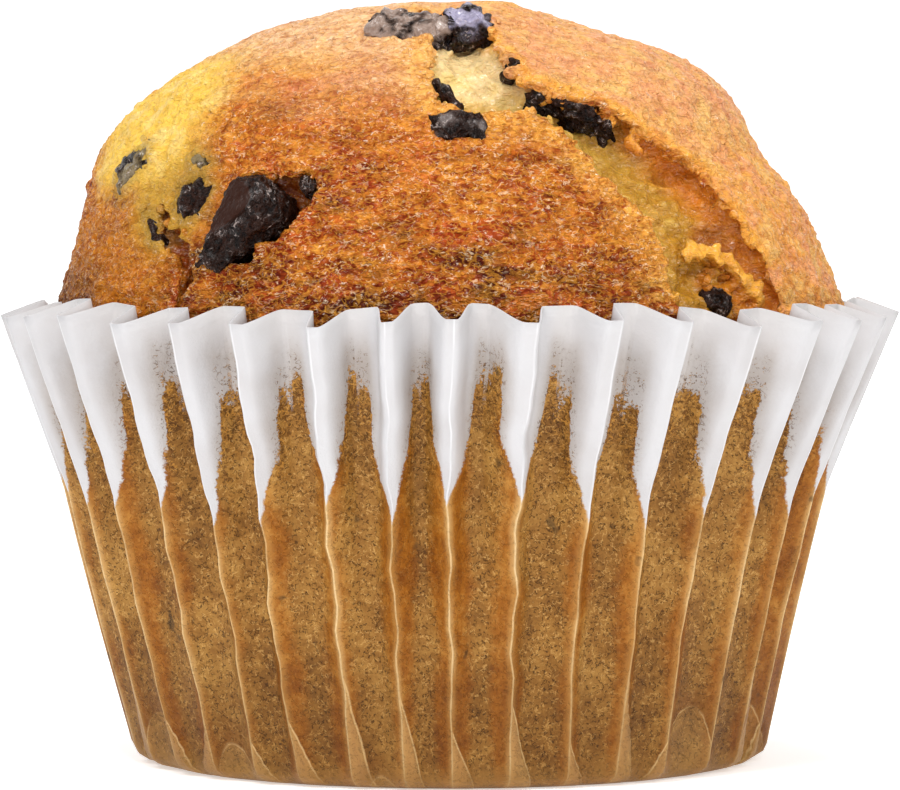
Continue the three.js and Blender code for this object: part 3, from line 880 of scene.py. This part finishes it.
def makeCake(material, chunkNodes):
    piece = cutAndRemesh()
    closeBelow(piece)
    mesh = piece.data
    points, normals = readPoints(mesh), readNormals(mesh)
    azimuth, elevation = angles(points)
    reach = np.linalg.norm(points - [0, 0, skirtHeight], axis=1)
    depth = np.where(elevation > -8, domeRadius(azimuth, elevation) - reach, 0)
    shown = smoothStep(points[:, 2], 31.5, 33.5)
    torn = smoothStep(depth, 0.18, 0.55) * shown
    move = cakeRelief(points, azimuth, elevation, torn, shown)
    nearest = np.full(len(points), 9.0)
    for node in chunkNodes:
        nearest = np.minimum(nearest, distanceTo(node, points, 1.6))
    flap = distanceToPath(points, crumbRuns[0]["path"])
    torn = np.maximum(torn, 1 - smoothStep(flap, 1.0, 1.6))
    for name, values in (("torn", torn), ("depth", depth), ("nearest", nearest), ("shown", shown)):
        storeMask(mesh, name, values)
    hug = 0.25 * (1 - smoothStep(nearest, 0.0, 0.9)) * (nearest > -0.2)
    points += normals * (move + hug)[:, None]
    underTop(points)
    writePoints(mesh, points * millimetre)
    piece.data = mesh = thinned(piece, azimuth, points[:, 2])
    smoothShade(mesh)
    points = readPoints(mesh) / millimetre
    torn, depth, nearest, shown = (readMask(mesh, name) for name in ("torn", "depth", "nearest", "shown"))
    colours, calm = cakeTones(points, torn, depth, nearest)
    storeTone(mesh, colours)
    storeMask(mesh, "calm", calm)
    lip = smoothStep(torn, 0.10, 0.35) * (1 - smoothStep(torn, 0.75, 0.98))
    besideChunk = (nearest > 0.05) * (1 - smoothStep(nearest, 0.2, 0.6))
    storeMask(mesh, "crumbs", np.maximum(lip, 0.5 * besideChunk) + 0.2 * torn)
    mesh.materials.clear()
    mesh.materials.append(material)
    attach(piece, "root")
    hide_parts("cake")
    print("cake:", len(mesh.polygons), "faces")
    return piece


filmAndSheenTones = {
    "olive": (140, 122, 86), "grey": (112, 100, 96), "sheen": (164, 140, 126), "blue": (176, 170, 198),
}
filmsAndSheens = {  # batter or bloom over a chunk, and on top_left and top_right partly a painted sheen: its tone and how much of it
    "left_outer": ("olive", 0.55), "left_upper": ("olive", 0.72), "left_inner": ("grey", 0.2),
    "top_left": ("sheen", 0.72), "top_right": ("blue", 0.8), "crack_lower": ("grey", 0.5),
}
chunkLook = {"facets": 3, "lumps": 0.34, "grain": 0.2, "ragged": 0.075, "faceDepth": 0.96,
             "dark": (18, 8, 5), "brown": (52, 27, 17), "facet": (48, 24, 15)}
wedge = {  # directions are shares of outward, east and north
    "face": (0.9, -0.26, 0.18), "faceKeep": 0.70, "tipDraw": (0.35, -0.45, -1.1),
}
strip = {"longer": 0.12, "narrower": 0.62, "waver": 0.4, "shift": 0.5}
sliver = {"narrower": 0.45}


def refinedCopy(node):
    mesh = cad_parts[node].data.copy()
    shape = bmesh.new()
    shape.from_mesh(mesh)
    bmesh.ops.remove_doubles(shape, verts=shape.verts, dist=1e-6)
    for _ in range(3):
        bmesh.ops.subdivide_edges(shape, edges=shape.edges, cuts=1, use_grid_fill=True, smooth=0.25)
    shape.to_mesh(mesh)
    shape.free()
    return mesh


def squash(points, centre, direction, share):
    points -= np.outer((points - centre) @ direction, direction) * share


def formChunk(name, points, centre, axes):  # gives three chunks a form of their own
    outward, east, north = axes
    if name == "left_large":        # a tip drawn down to the left
        tip = smoothStep(-(points - centre) @ north, 0.5, 3.6)
        tip *= smoothStep((points - centre) @ outward, 0.2, 1.6)
        points += np.outer(tip, np.dot(wedge["tipDraw"], axes))
    if name == "crack_right":       # only a ragged strip shows under the lip
        along, narrow = east * 0.865 - north * 0.5, east * 0.5 + north * 0.865
        squash(points, centre, along, -strip["longer"])
        squash(points, centre, narrow, strip["narrower"])
        waver = strip["waver"] * roughNoise(points, 1.6, 77, 3, 0.7)
        points += np.outer(waver + strip["shift"], narrow)
    if name == "left_sliver":
        squash(points, centre, (east + north) / math.sqrt(2), sliver["narrower"])


def cutFacets(points, centre, cuts):  # returns the share of the last cut's face at each point
    for direction, keep in cuts:
        direction = direction / np.linalg.norm(direction)
        along = (points - centre) @ direction
        past = along - keep * along.max()
        points -= np.outer(np.maximum(past, 0) * chunkLook["faceDepth"], direction)
    return smoothStep(past, 0.0, 0.12)


def paintChunk(mesh, name, seed, points, normals, outward, facet):
    blend = 0.5 + 0.5 * roughNoise(points, 1.1, seed + 9, 3)
    colours = throughTones(np.clip(blend, 0, 1), chunkLook["dark"], chunkLook["brown"])
    colours = layTone(colours, chunkLook["facet"], facet)
    film, amount = filmsAndSheens.get(name, ("grey", 0.18))
    patches = roughNoise(points, 1.8, seed + 20, 3) * 0.5 + 0.5
    # the film lies on the outward-facing side; on top_left and top_right it is partly a painted sheen
    facing = smoothStep(normals @ outward, 0.1, 0.8)
    share = smoothStep(patches, 1 - amount, 1.25 - amount) * facing * (1 - facet)
    storeTone(mesh, layTone(colours, filmAndSheenTones[film], 0.8 * share))
    storeMask(mesh, "facet", facet)
    storeMask(mesh, "film", share)


def makeChunk(node, material, seed):
    mesh = refinedCopy(node)
    points, normals = readPoints(mesh) / millimetre, readNormals(mesh)
    centre = points.mean(axis=0)
    outward = (centre - [0, 0, skirtHeight]) / np.linalg.norm(centre - [0, 0, skirtHeight])
    east = np.cross([0, 0, 1], outward)
    east /= np.linalg.norm(east)
    north = np.cross(outward, east)
    random = np.random.default_rng(seed)
    cuts = [(outward * 0.7 + random.normal(size=3) * 0.75, random.uniform(0.8, 0.95))
            for _ in range(chunkLook["facets"])]
    name = node.replace("chocolate_", "")
    smoothFaced = name == "left_large"
    axes = np.array([outward, east, north])
    if smoothFaced:
        cuts.append((np.dot(wedge["face"], axes), wedge["faceKeep"]))
    formChunk(name, points, centre, axes)
    facet = cutFacets(points, centre, cuts) * smoothFaced
    rough = chunkLook["lumps"] * roughNoise(points, 1.5, seed, 2)
    rough += chunkLook["grain"] * roughNoise(points, 0.55, seed + 5, 2)
    points += normals * ((rough - 0.06) * (1 - 0.9 * facet))[:, None]
    if not smoothFaced:
        ragged = chunkLook["ragged"] * np.ptp(points, axis=0).max()
        points += np.outer(ragged * roughNoise(points, 1.3, seed + 2, 2), east)
        points += np.outer(ragged * roughNoise(points, 1.3, seed + 3, 2), north)
    underTop(points)
    writePoints(mesh, points * millimetre)
    smoothShade(mesh)
    paintChunk(mesh, name, seed, points, normals, outward, facet)
    mesh.materials.clear()
    mesh.materials.append(material)
    piece = newObject("chunk_" + name, mesh)
    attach(piece, "root")
    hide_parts(node)


crumbSizes = {  # metres, and crumbs to a square metre
    "Density": 1.6e6, "Smallest": 0.00014, "Largest": 0.00050, "Roughness": 0.00026, "Seed": 7,
}


def crumbTree(material):
    tree, given, size = newTree("crumbScatter", crumbSizes, takesGeometry=True)
    where = addNode(tree, "GeometryNodeInputNamedAttribute", {"Name": "crumbs"}, data_type="FLOAT")
    density = Field(tree, where.outputs["Attribute"]).power(2) * size["Density"]
    spread = addNode(tree, "GeometryNodeDistributePointsOnFaces", {
        "Mesh": given.outputs["Geometry"], "Density": density, "Seed": size["Seed"]})
    lump = addNode(tree, "GeometryNodeMeshIcoSphere", {"Radius": 1.0, "Subdivisions": 2})
    chance = addNode(tree, "FunctionNodeRandomValue", {"Seed": size["Seed"]}, data_type="FLOAT")
    share = Field(tree, liveOutput(chance)).power(2.2)
    radius = size["Smallest"].towards(size["Largest"], share)
    stretch = addNode(tree, "FunctionNodeRandomValue", {"Seed": size["Seed"] + 1}, data_type="FLOAT_VECTOR")
    for slot, value in zip(stretch.inputs, ((0.7, 0.7, 0.6), (1.4, 1.1, 1.0))):
        slot.default_value = value
    scale = addNode(tree, "ShaderNodeVectorMath", {0: liveOutput(stretch), "Scale": radius},
                    operation="SCALE")
    turn = addNode(tree, "FunctionNodeRandomValue", {"Seed": size["Seed"] + 2}, data_type="FLOAT_VECTOR")
    turn.inputs[1].default_value = (6.28, 6.28, 6.28)
    placed = addNode(tree, "GeometryNodeInstanceOnPoints", {
        "Points": spread.outputs["Points"], "Instance": lump.outputs[0], "Scale": scale.outputs[0],
        "Rotation": liveOutput(turn)})
    real = addNode(tree, "GeometryNodeRealizeInstances", {"Geometry": placed.outputs[0]})
    noise = addNode(tree, "ShaderNodeTexNoise", {"Scale": 2600.0, "Detail": 2.0})
    push = (Field(tree, noise.outputs["Fac"]) - 0.5) * size["Roughness"] * 2
    normal = tree.nodes.new("GeometryNodeInputNormal")
    offset = addNode(tree, "ShaderNodeVectorMath", {0: normal.outputs[0], "Scale": push},
                     operation="SCALE")
    moved = addNode(tree, "GeometryNodeSetPosition",
                    {"Geometry": real.outputs[0], "Offset": offset.outputs[0]})
    return dressTree(tree, moved.outputs[0], material)


def makeCrumbs(cake, material):
    piece = newObject("crumbs", cake.data.copy())
    mesh = useTree(piece, "scatter", crumbTree(material), crumbSizes)
    smoothShade(mesh)
    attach(piece, "root")
    print("crumbs:", len(mesh.polygons), "faces")


def newMaterial(name, **constants):
    material = bpy.data.materials.new(name)
    material.use_nodes = True
    tree = material.node_tree
    shader = tree.nodes["Principled BSDF"]
    for socket, value in constants.items():
        shader.inputs[socket.replace("_", " ")].default_value = value
    return material, tree, shader


def attribute(tree, name):
    return Field(tree, addNode(tree, "ShaderNodeAttribute", attribute_name=name).outputs["Fac"])


def noiseField(tree, size, detail=3.0, roughness=0.55, stretch=(1, 1, 1), twist=0.0):  # size in mm
    coordinates = addNode(tree, "ShaderNodeTexCoord")
    mapping = addNode(tree, "ShaderNodeMapping",
                      {"Vector": coordinates.outputs["Object"], "Scale": stretch})
    noise = addNode(tree, "ShaderNodeTexNoise", {
        "Vector": mapping.outputs[0], "Scale": 1 / (size * millimetre), "Detail": detail,
        "Roughness": roughness, "Distortion": twist})
    return Field(tree, noise.outputs["Fac"])


def curls(tree, size, width, stretch=(1, 1, 1), broken=1.7):  # thin curly strokes, 0 to 1
    line = (noiseField(tree, size, 1.0, 0.5, stretch, 0.5) - 0.5).size().eased(width, width * 0.25)
    return line * noiseField(tree, size * broken, 1.0, 0.5, stretch).eased(0.48, 0.56)


def ramp(tree, field, stops):
    node = addNode(tree, "ShaderNodeValToRGB", {"Fac": field})
    while len(node.color_ramp.elements) < len(stops):
        node.color_ramp.elements.new(0.5)
    for element, (place, colour) in zip(node.color_ramp.elements, stops):
        element.position, element.color = place, (*linear(colour), 1)
    return node.outputs["Color"]


def blendColours(tree, share, under, over, mode="MIX"):
    node = addNode(tree, "ShaderNodeMix", data_type="RGBA", blend_type=mode)
    feed(tree, node.inputs[0], share)
    for slot, colour in ((6, under), (7, over)):
        feed(tree, node.inputs[slot], (*linear(colour), 1) if isinstance(colour, tuple) else colour)
    return node.outputs[2]


def layered(tree, colour, *layers):  # each layer: how much of it shows, its colour and any mode
    for share, over, *mode in layers:
        colour = blendColours(tree, share, colour, over, *mode)
    return colour


def bumped(tree, height, distance, under=None):
    inputs = {"Height": height, "Distance": distance * millimetre, "Strength": 1.0}
    if under:
        inputs["Normal"] = under
    return addNode(tree, "ShaderNodeBump", inputs).outputs["Normal"]


def crumbField(tree, size, stretch=(1, 1, 1), stray=0.3):  # 0 in a crumb's middle, about 0.7 between
    coordinates = addNode(tree, "ShaderNodeTexCoord")
    noise = addNode(tree, "ShaderNodeTexNoise", {
        "Vector": coordinates.outputs["Object"], "Scale": 0.7 / (size * millimetre), "Detail": 2.0})
    centred = addNode(tree, "ShaderNodeVectorMath", {0: noise.outputs["Color"], 1: (0.5, 0.5, 0.5)},
                      operation="SUBTRACT")
    shift = addNode(tree, "ShaderNodeVectorMath",
                    {0: centred.outputs[0], "Scale": size * millimetre * stray * 6}, operation="SCALE")
    moved = addNode(tree, "ShaderNodeVectorMath",
                    {0: coordinates.outputs["Object"], 1: shift.outputs[0]}, operation="ADD")
    mapping = addNode(tree, "ShaderNodeMapping", {"Vector": moved.outputs[0], "Scale": stretch})
    cells = addNode(tree, "ShaderNodeTexVoronoi", {
        "Vector": mapping.outputs[0], "Scale": 1 / (size * millimetre)}, feature="F1")
    own = addNode(tree, "ShaderNodeSeparateColor", {"Color": cells.outputs["Color"]})
    return Field(tree, cells.outputs["Distance"]), Field(tree, own.outputs[0])


def crustMaterial():
    material, tree, shader = newMaterial("crust", Subsurface_Weight=0.06, Subsurface_Scale=0.001,
                                         Subsurface_Radius=(1.6, 0.7, 0.25), IOR=1.4,
                                         Specular_IOR_Level=0.12, Coat_Roughness=0.13)
    tone = addNode(tree, "ShaderNodeAttribute", attribute_name="tone").outputs["Color"]
    torn, calm = attribute(tree, "torn"), attribute(tree, "calm")
    vivid = calm.flipped()
    crumbs, chance = crumbField(tree, 0.56, (0.8, 0.8, 1.35))
    flakes, flake = crumbField(tree, 0.95, (0.7, 0.7, 1.5), 0.5)
    lace = noiseField(tree, 0.98, 1.0, 0.5, (0.9, 0.9, 1.5), 0.9)
    strings = (lace - 0.5).size().eased(0.09, 0.0)
    gaps = noiseField(tree, 0.64, 2.0, 0.6, (0.9, 0.9, 1.5), 0.6).eased(0.54, 0.38)
    coarse = noiseField(tree, 2.2, 3, 0.6, (1, 1, 2.0))
    # dark gaps, partly the crumb's own darker colour and partly painted shade in the low spots between
    # crumbs; golden strings; and pale wet-looking glints and dots, which are painted highlights
    dim = gaps * strings.flipped() * 0.55 + flake.eased(0.45, 0.1) * 0.34 + flakes.eased(0.5, 0.75) * 0.25
    dim = (dim + coarse.eased(0.5, 0.36) * 0.3).clamped()
    golden = (strings * (coarse * 0.8 + 0.1)).most(flake.eased(0.62, 0.9) * 0.32)
    strokes = curls(tree, 0.56, 0.06, (0.9, 0.9, 1.4), 1.0)
    patchy = coarse.eased(0.42, 0.58) * 0.6 + 0.4
    glints = curls(tree, 0.56, 0.05, (0.9, 0.9, 1.5), 0.9) * patchy
    highlightDots = crumbs.eased(0.24, 0.08) * chance.eased(0.56, 0.62) * patchy
    colour = layered(
        tree, tone,
        # painted shade in the low gaps, partly the crumb's own darker colour
        (dim * (vivid * 0.85 + 0.08), (172, 98, 40), "MULTIPLY"),
        # painted shade between the crumbs, darker away from each crumb's middle
        (crumbs.eased(0.42, 0.75) * vivid * 0.5, (180, 128, 76), "MULTIPLY"),
        (golden * (vivid * 0.6 + 0.1), (240, 166, 58)),
        (strokes * (vivid * 0.3 + 0.08), (244, 176, 72)),
        # painted highlights: glints, and dots on the crumbs' tops
        (glints * (vivid * 0.6 + 0.16), blendColours(tree, 0.4, (255, 226, 186), tone)),
        (highlightDots * (vivid * 0.3 + 0.3), (255, 238, 216)))
    gloss = (crumbs.eased(0.55, 0.2) * 0.7 + torn * 0.8) * (vivid * 0.2 + 0.55)
    smooth = (torn * -0.45 + 1) * (vivid * 0.35 + 0.65)
    normal = bumped(tree, coarse, 0.45)
    lumps = (crumbs * -0.8 + strings * 0.35 - gaps * 0.25) * smooth
    normal = bumped(tree, lumps, 0.26, under=normal)
    feedAll(tree, shader, {"Base Color": colour, "Roughness": lace * 0.3 + 0.4,
                           "Coat Weight": gloss.clamped(), "Normal": normal, "Coat Normal": normal})
    return material


def chocolateMaterial():
    material, tree, shader = newMaterial("chocolate", IOR=1.5, Coat_Roughness=0.08,
                                         Specular_IOR_Level=0.13)
    tone = addNode(tree, "ShaderNodeAttribute", attribute_name="tone").outputs["Color"]
    facet, film = attribute(tree, "facet"), attribute(tree, "film")
    rough = facet.most(film * 0.75).flipped()
    fine = noiseField(tree, 0.40, 2.5, 0.6, twist=0.8)
    coarse = noiseField(tree, 1.1, 3, 0.55)
    colour = blendColours(tree, fine.eased(0.52, 0.38) * rough, tone, (110, 84, 72), "MULTIPLY")
    # painted highlights: pale glints, stronger where the film or sheen lies
    glints = curls(tree, 0.45, 0.04) * coarse.eased(0.46, 0.60)
    lit = (glints * (rough * 0.35 + film * 0.3 + 0.1)).clamped()
    colour = blendColours(tree, lit, colour, (226, 206, 198))
    gloss = (coarse.eased(0.50, 0.62) * 0.6 + film * 0.5 + 0.04).clamped()
    height = (fine * 0.9 + coarse * 0.7) * (rough * 0.9 + 0.1)
    normal = bumped(tree, height, 0.44)
    feedAll(tree, shader, {"Base Color": colour, "Roughness": (coarse * 0.35 + 0.12).clamped(),
                           "Coat Weight": gloss, "Normal": normal, "Coat Normal": normal})
    return material


def fromNumber(field, salt):  # an even random share for each whole number
    wild = (field * 91.7 + salt).sine() * 43.7
    return wild - wild.floor()


def stainedPaper(tree, at):
    away, rise, tuck, arc, own, soft = at.away, at.rise, at.tuck, at.arc, at.own, at.soft
    # greasy orange beside a ridge, greyer with curly strands in the middle of a valley
    grain = (at.mottle - 0.5) * 1.0 + (soft - 0.5) * 1.0 + (at.strands - 0.5) * 0.5 + 0.5
    orange = ramp(tree, grain, [(0.15, (118, 64, 10)), (0.5, (150, 90, 22)), (0.85, (180, 124, 52))])
    grey = ramp(tree, grain, [(0.15, (106, 68, 24)), (0.5, (142, 97, 40)), (0.85, (172, 127, 62))])
    middle = (away + (soft - 0.5) * 1.2 + (at.panel - 0.5) * 0.5).eased(0.26, 0.70)
    topBand = at.above.eased(-6.0, -1.0) * away.eased(0.35, 0.6)
    coarseCurls = curls(tree, 0.46, 0.075, broken=1.0)
    strip = away.eased((own * 0.10 + soft * 0.16 + 0.02).most(0.05), 0.0)
    line = away.eased(0.05, 0.0) * (soft * 0.9 + own * 0.3).clamped()
    tuckLine = tuck.size().eased(0.022, 0.004) * 0.55
    arcLine = arc.size().eased(0.20, 0.03) * soft.eased(0.42, 0.56) * 0.45 * rise.eased(12, 8)
    overArc = arc.eased(2.6, 0.3) * arc.above(0) * 0.45 * rise.eased(10, 6)
    spots = noiseField(tree, 2.2, 1.5, 0.5).eased(0.71, 0.76)
    return layered(
        tree, orange,
        (middle, grey),
        (at.darkCurls * (middle * 0.65 + 0.15), (66, 38, 10)),
        (at.lightCurls * (middle * 0.45 + 0.12), (208, 162, 94)),
        (topBand * (at.strands.eased(0.50, 0.40) * 0.7), (84, 46, 12)),
        (topBand * coarseCurls * 0.75, (196, 138, 58)),
        # pale line along the ridge, in places a wider strip
        (away.eased(0.26, 0.02) * 0.5, (190, 142, 76)),
        (strip * soft.eased(0.40, 0.58) * 0.6, (206, 168, 112)),
        (line, (232, 202, 152)),
        # painted shade darkening towards the foot, then tucks and arcs at the foot, a few dark spots, and
        # the foot itself
        (rise.eased(16, 2) * 0.7, (196, 186, 168), "MULTIPLY"),
        (arc.eased(0.5, -0.5) * rise.eased(9, 3) * 0.25, (166, 128, 78)),
        (tuck.eased(-0.008, 0.008) * 0.5, (180, 140, 86)),
        (tuckLine.most(arcLine), (216, 182, 128)),
        (overArc, (112, 64, 14)),
        (spots * 0.6, (50, 38, 22)),
        ((rise - soft * 3).eased(1.0, -1.1) * 0.6, (146, 106, 50)))


def plainPaper(tree, at):  # white, with a painted grey see-through shade over the cake
    away, soft = at.away, at.soft
    seeThroughShade = at.above.eased(10.0, -1.0) * away.eased(0.2, 0.65) * (soft + at.own * 0.4 + 0.2).clamped()
    seeThroughShade = seeThroughShade * at.rise.eased(36.0, 32.5)
    # painted highlight along each ridge
    ridgeHighlight = away.eased(0.04, 0.0) * soft.eased(0.3, 0.6) * 0.5
    return layered(
        tree, (202, 201, 203),
        (soft.eased(0.35, 0.7) * 0.6, (188, 184, 184)),
        (away.eased(0.35, 0.9) * 0.3, (208, 200, 194)),
        (seeThroughShade * 0.82, (160, 147, 136)),
        (ridgeHighlight, (240, 240, 243)))


def paperMaterial():
    material, tree, shader = newMaterial("paper", IOR=1.35, Specular_IOR_Level=0.3)
    at = SimpleNamespace(**{name: attribute(tree, name) for name in ("away", "rise", "tuck", "arc")})
    at.own = fromNumber(attribute(tree, "pleatNumber"), 3.1)
    at.panel = fromNumber(attribute(tree, "valleyNumber"), 1.7)
    at.strands = noiseField(tree, 0.30, 2, 0.55, twist=1.2)
    at.mottle = noiseField(tree, 1.3, 3, 0.65)
    at.soft = noiseField(tree, 6.0, 2, 0.5)
    at.darkCurls = curls(tree, 0.30, 0.055, broken=1.1)
    at.lightCurls = curls(tree, 0.37, 0.05, broken=1.3)
    # the stain's top edge: low on a ridge, a gothic arch over each valley, with loose specks above
    arch = (at.away * 8.8).least(6.4) + at.away.eased(0.54, 0.74) * 3.4
    ragged = (at.mottle - 0.5) * 4.4 + (at.strands - 0.5) * 3.5
    edge = arch + 21.0 + (at.own - 0.5) * 2.4 + (at.soft - 0.5) * 3 + ragged * (at.away * 0.8 + 0.2)
    at.above = at.rise - edge
    specks = (at.darkCurls + at.strands + (at.mottle - 0.5) * 1.2).above(0.98)
    specks = specks * at.above.eased(3.6, 0.2) * at.away.eased(0.35, 0.6)
    stain = (at.above.eased(0.3, -0.3) + specks * 0.8).clamped()
    colour = blendColours(tree, stain, plainPaper(tree, at), stainedPaper(tree, at))
    fibre = noiseField(tree, 0.25, 3, 0.6)
    height = fibre * 0.35 + at.mottle * 0.6 - at.darkCurls * stain * 0.4 + at.soft * 1.2
    feedAll(tree, shader, {"Base Color": colour, "Roughness": stain * -0.15 + 0.65,
                           "Normal": bumped(tree, height, 0.09)})
    return material


chunkNodes = sorted(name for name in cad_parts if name.startswith("chocolate_"))
crust, paper, chocolate = crustMaterial(), paperMaterial(), chocolateMaterial()
print("materials made")
makeCase(paper)
cake = makeCake(crust, chunkNodes)
makeCrumbs(cake, crust)
for order, node in enumerate(chunkNodes):
    makeChunk(node, chocolate, 300 + 10 * order)
print("chocolate:", len(chunkNodes), "chunks")


sweepLook = {"reach": 1.4, "bend": 0.5, "backdrop": 1.2, "halfWidth": 2.0, "grey": 0.92, "glow": 0.50}
lights = {  # place, size, power and colour
    "key": ((-0.34, -0.50, 0.58), 0.32, 2.6, (0.99, 0.99, 1)),
    "fill": ((0.46, -0.44, 0.50), 0.32, 1.6, (1, 0.97, 0.92)),
    "sparkLow": ((0.10, -0.64, 0.46), 0.05, 0.7, (1, 1, 1)),
    "sparkHigh": ((-0.12, -0.42, 0.72), 0.05, 0.9, (1, 1, 1)),
    "top": ((0.02, 0.12, 0.82), 0.16, 2.4, (1, 1, 1)),
}
lightTarget, worldStrength = (0, 0, 0.035), 0.33


def makeSweep():
    reach, bend = sweepLook["reach"], sweepLook["bend"]
    side = sweepLook["halfWidth"]
    outline = [(-reach, 0.0), (reach - bend, 0.0)]
    outline += [(reach - bend + bend * math.sin(a), bend - bend * math.cos(a))
                for a in np.linspace(0.1, math.pi / 2, 12)]
    outline.append((reach, sweepLook["backdrop"]))
    points = [(x, y, z) for y, z in outline for x in (-side, side)]
    faces = [(i, i + 1, i + 3, i + 2) for i in range(0, len(points) - 2, 2)]
    piece = newObject("sweep", newMesh("sweep", points, faces))
    smoothShade(piece.data)
    material, _, shader = newMaterial("sweep", Roughness=0.9)
    shader.inputs["Base Color"].default_value = (*[sweepLook["grey"]] * 3, 1)
    shader.inputs["Emission Color"].default_value = (1, 1, 1, 1)
    shader.inputs["Emission Strength"].default_value = sweepLook["glow"]
    piece.data.materials.append(material)


def addLight(name, place, size, power, colour):
    light = bpy.data.lights.new(name, "AREA")
    light.size, light.energy, light.color = size, power, colour
    rig = newObject(name, light)
    rig.location = place
    rig.rotation_euler = (Vector(lightTarget) - Vector(place)).to_track_quat("-Z", "Y").to_euler()


makeSweep()
for name, look in lights.items():
    addLight(name, *look)
world = bpy.data.worlds.new("studio")
world.use_nodes = True
world.node_tree.nodes["Background"].inputs["Color"].default_value = (1, 1, 1, 1)
world.node_tree.nodes["Background"].inputs["Strength"].default_value = worldStrength
bpy.context.scene.world = world
bpy.context.scene.view_settings.view_transform = "Standard"
print("stage lit")
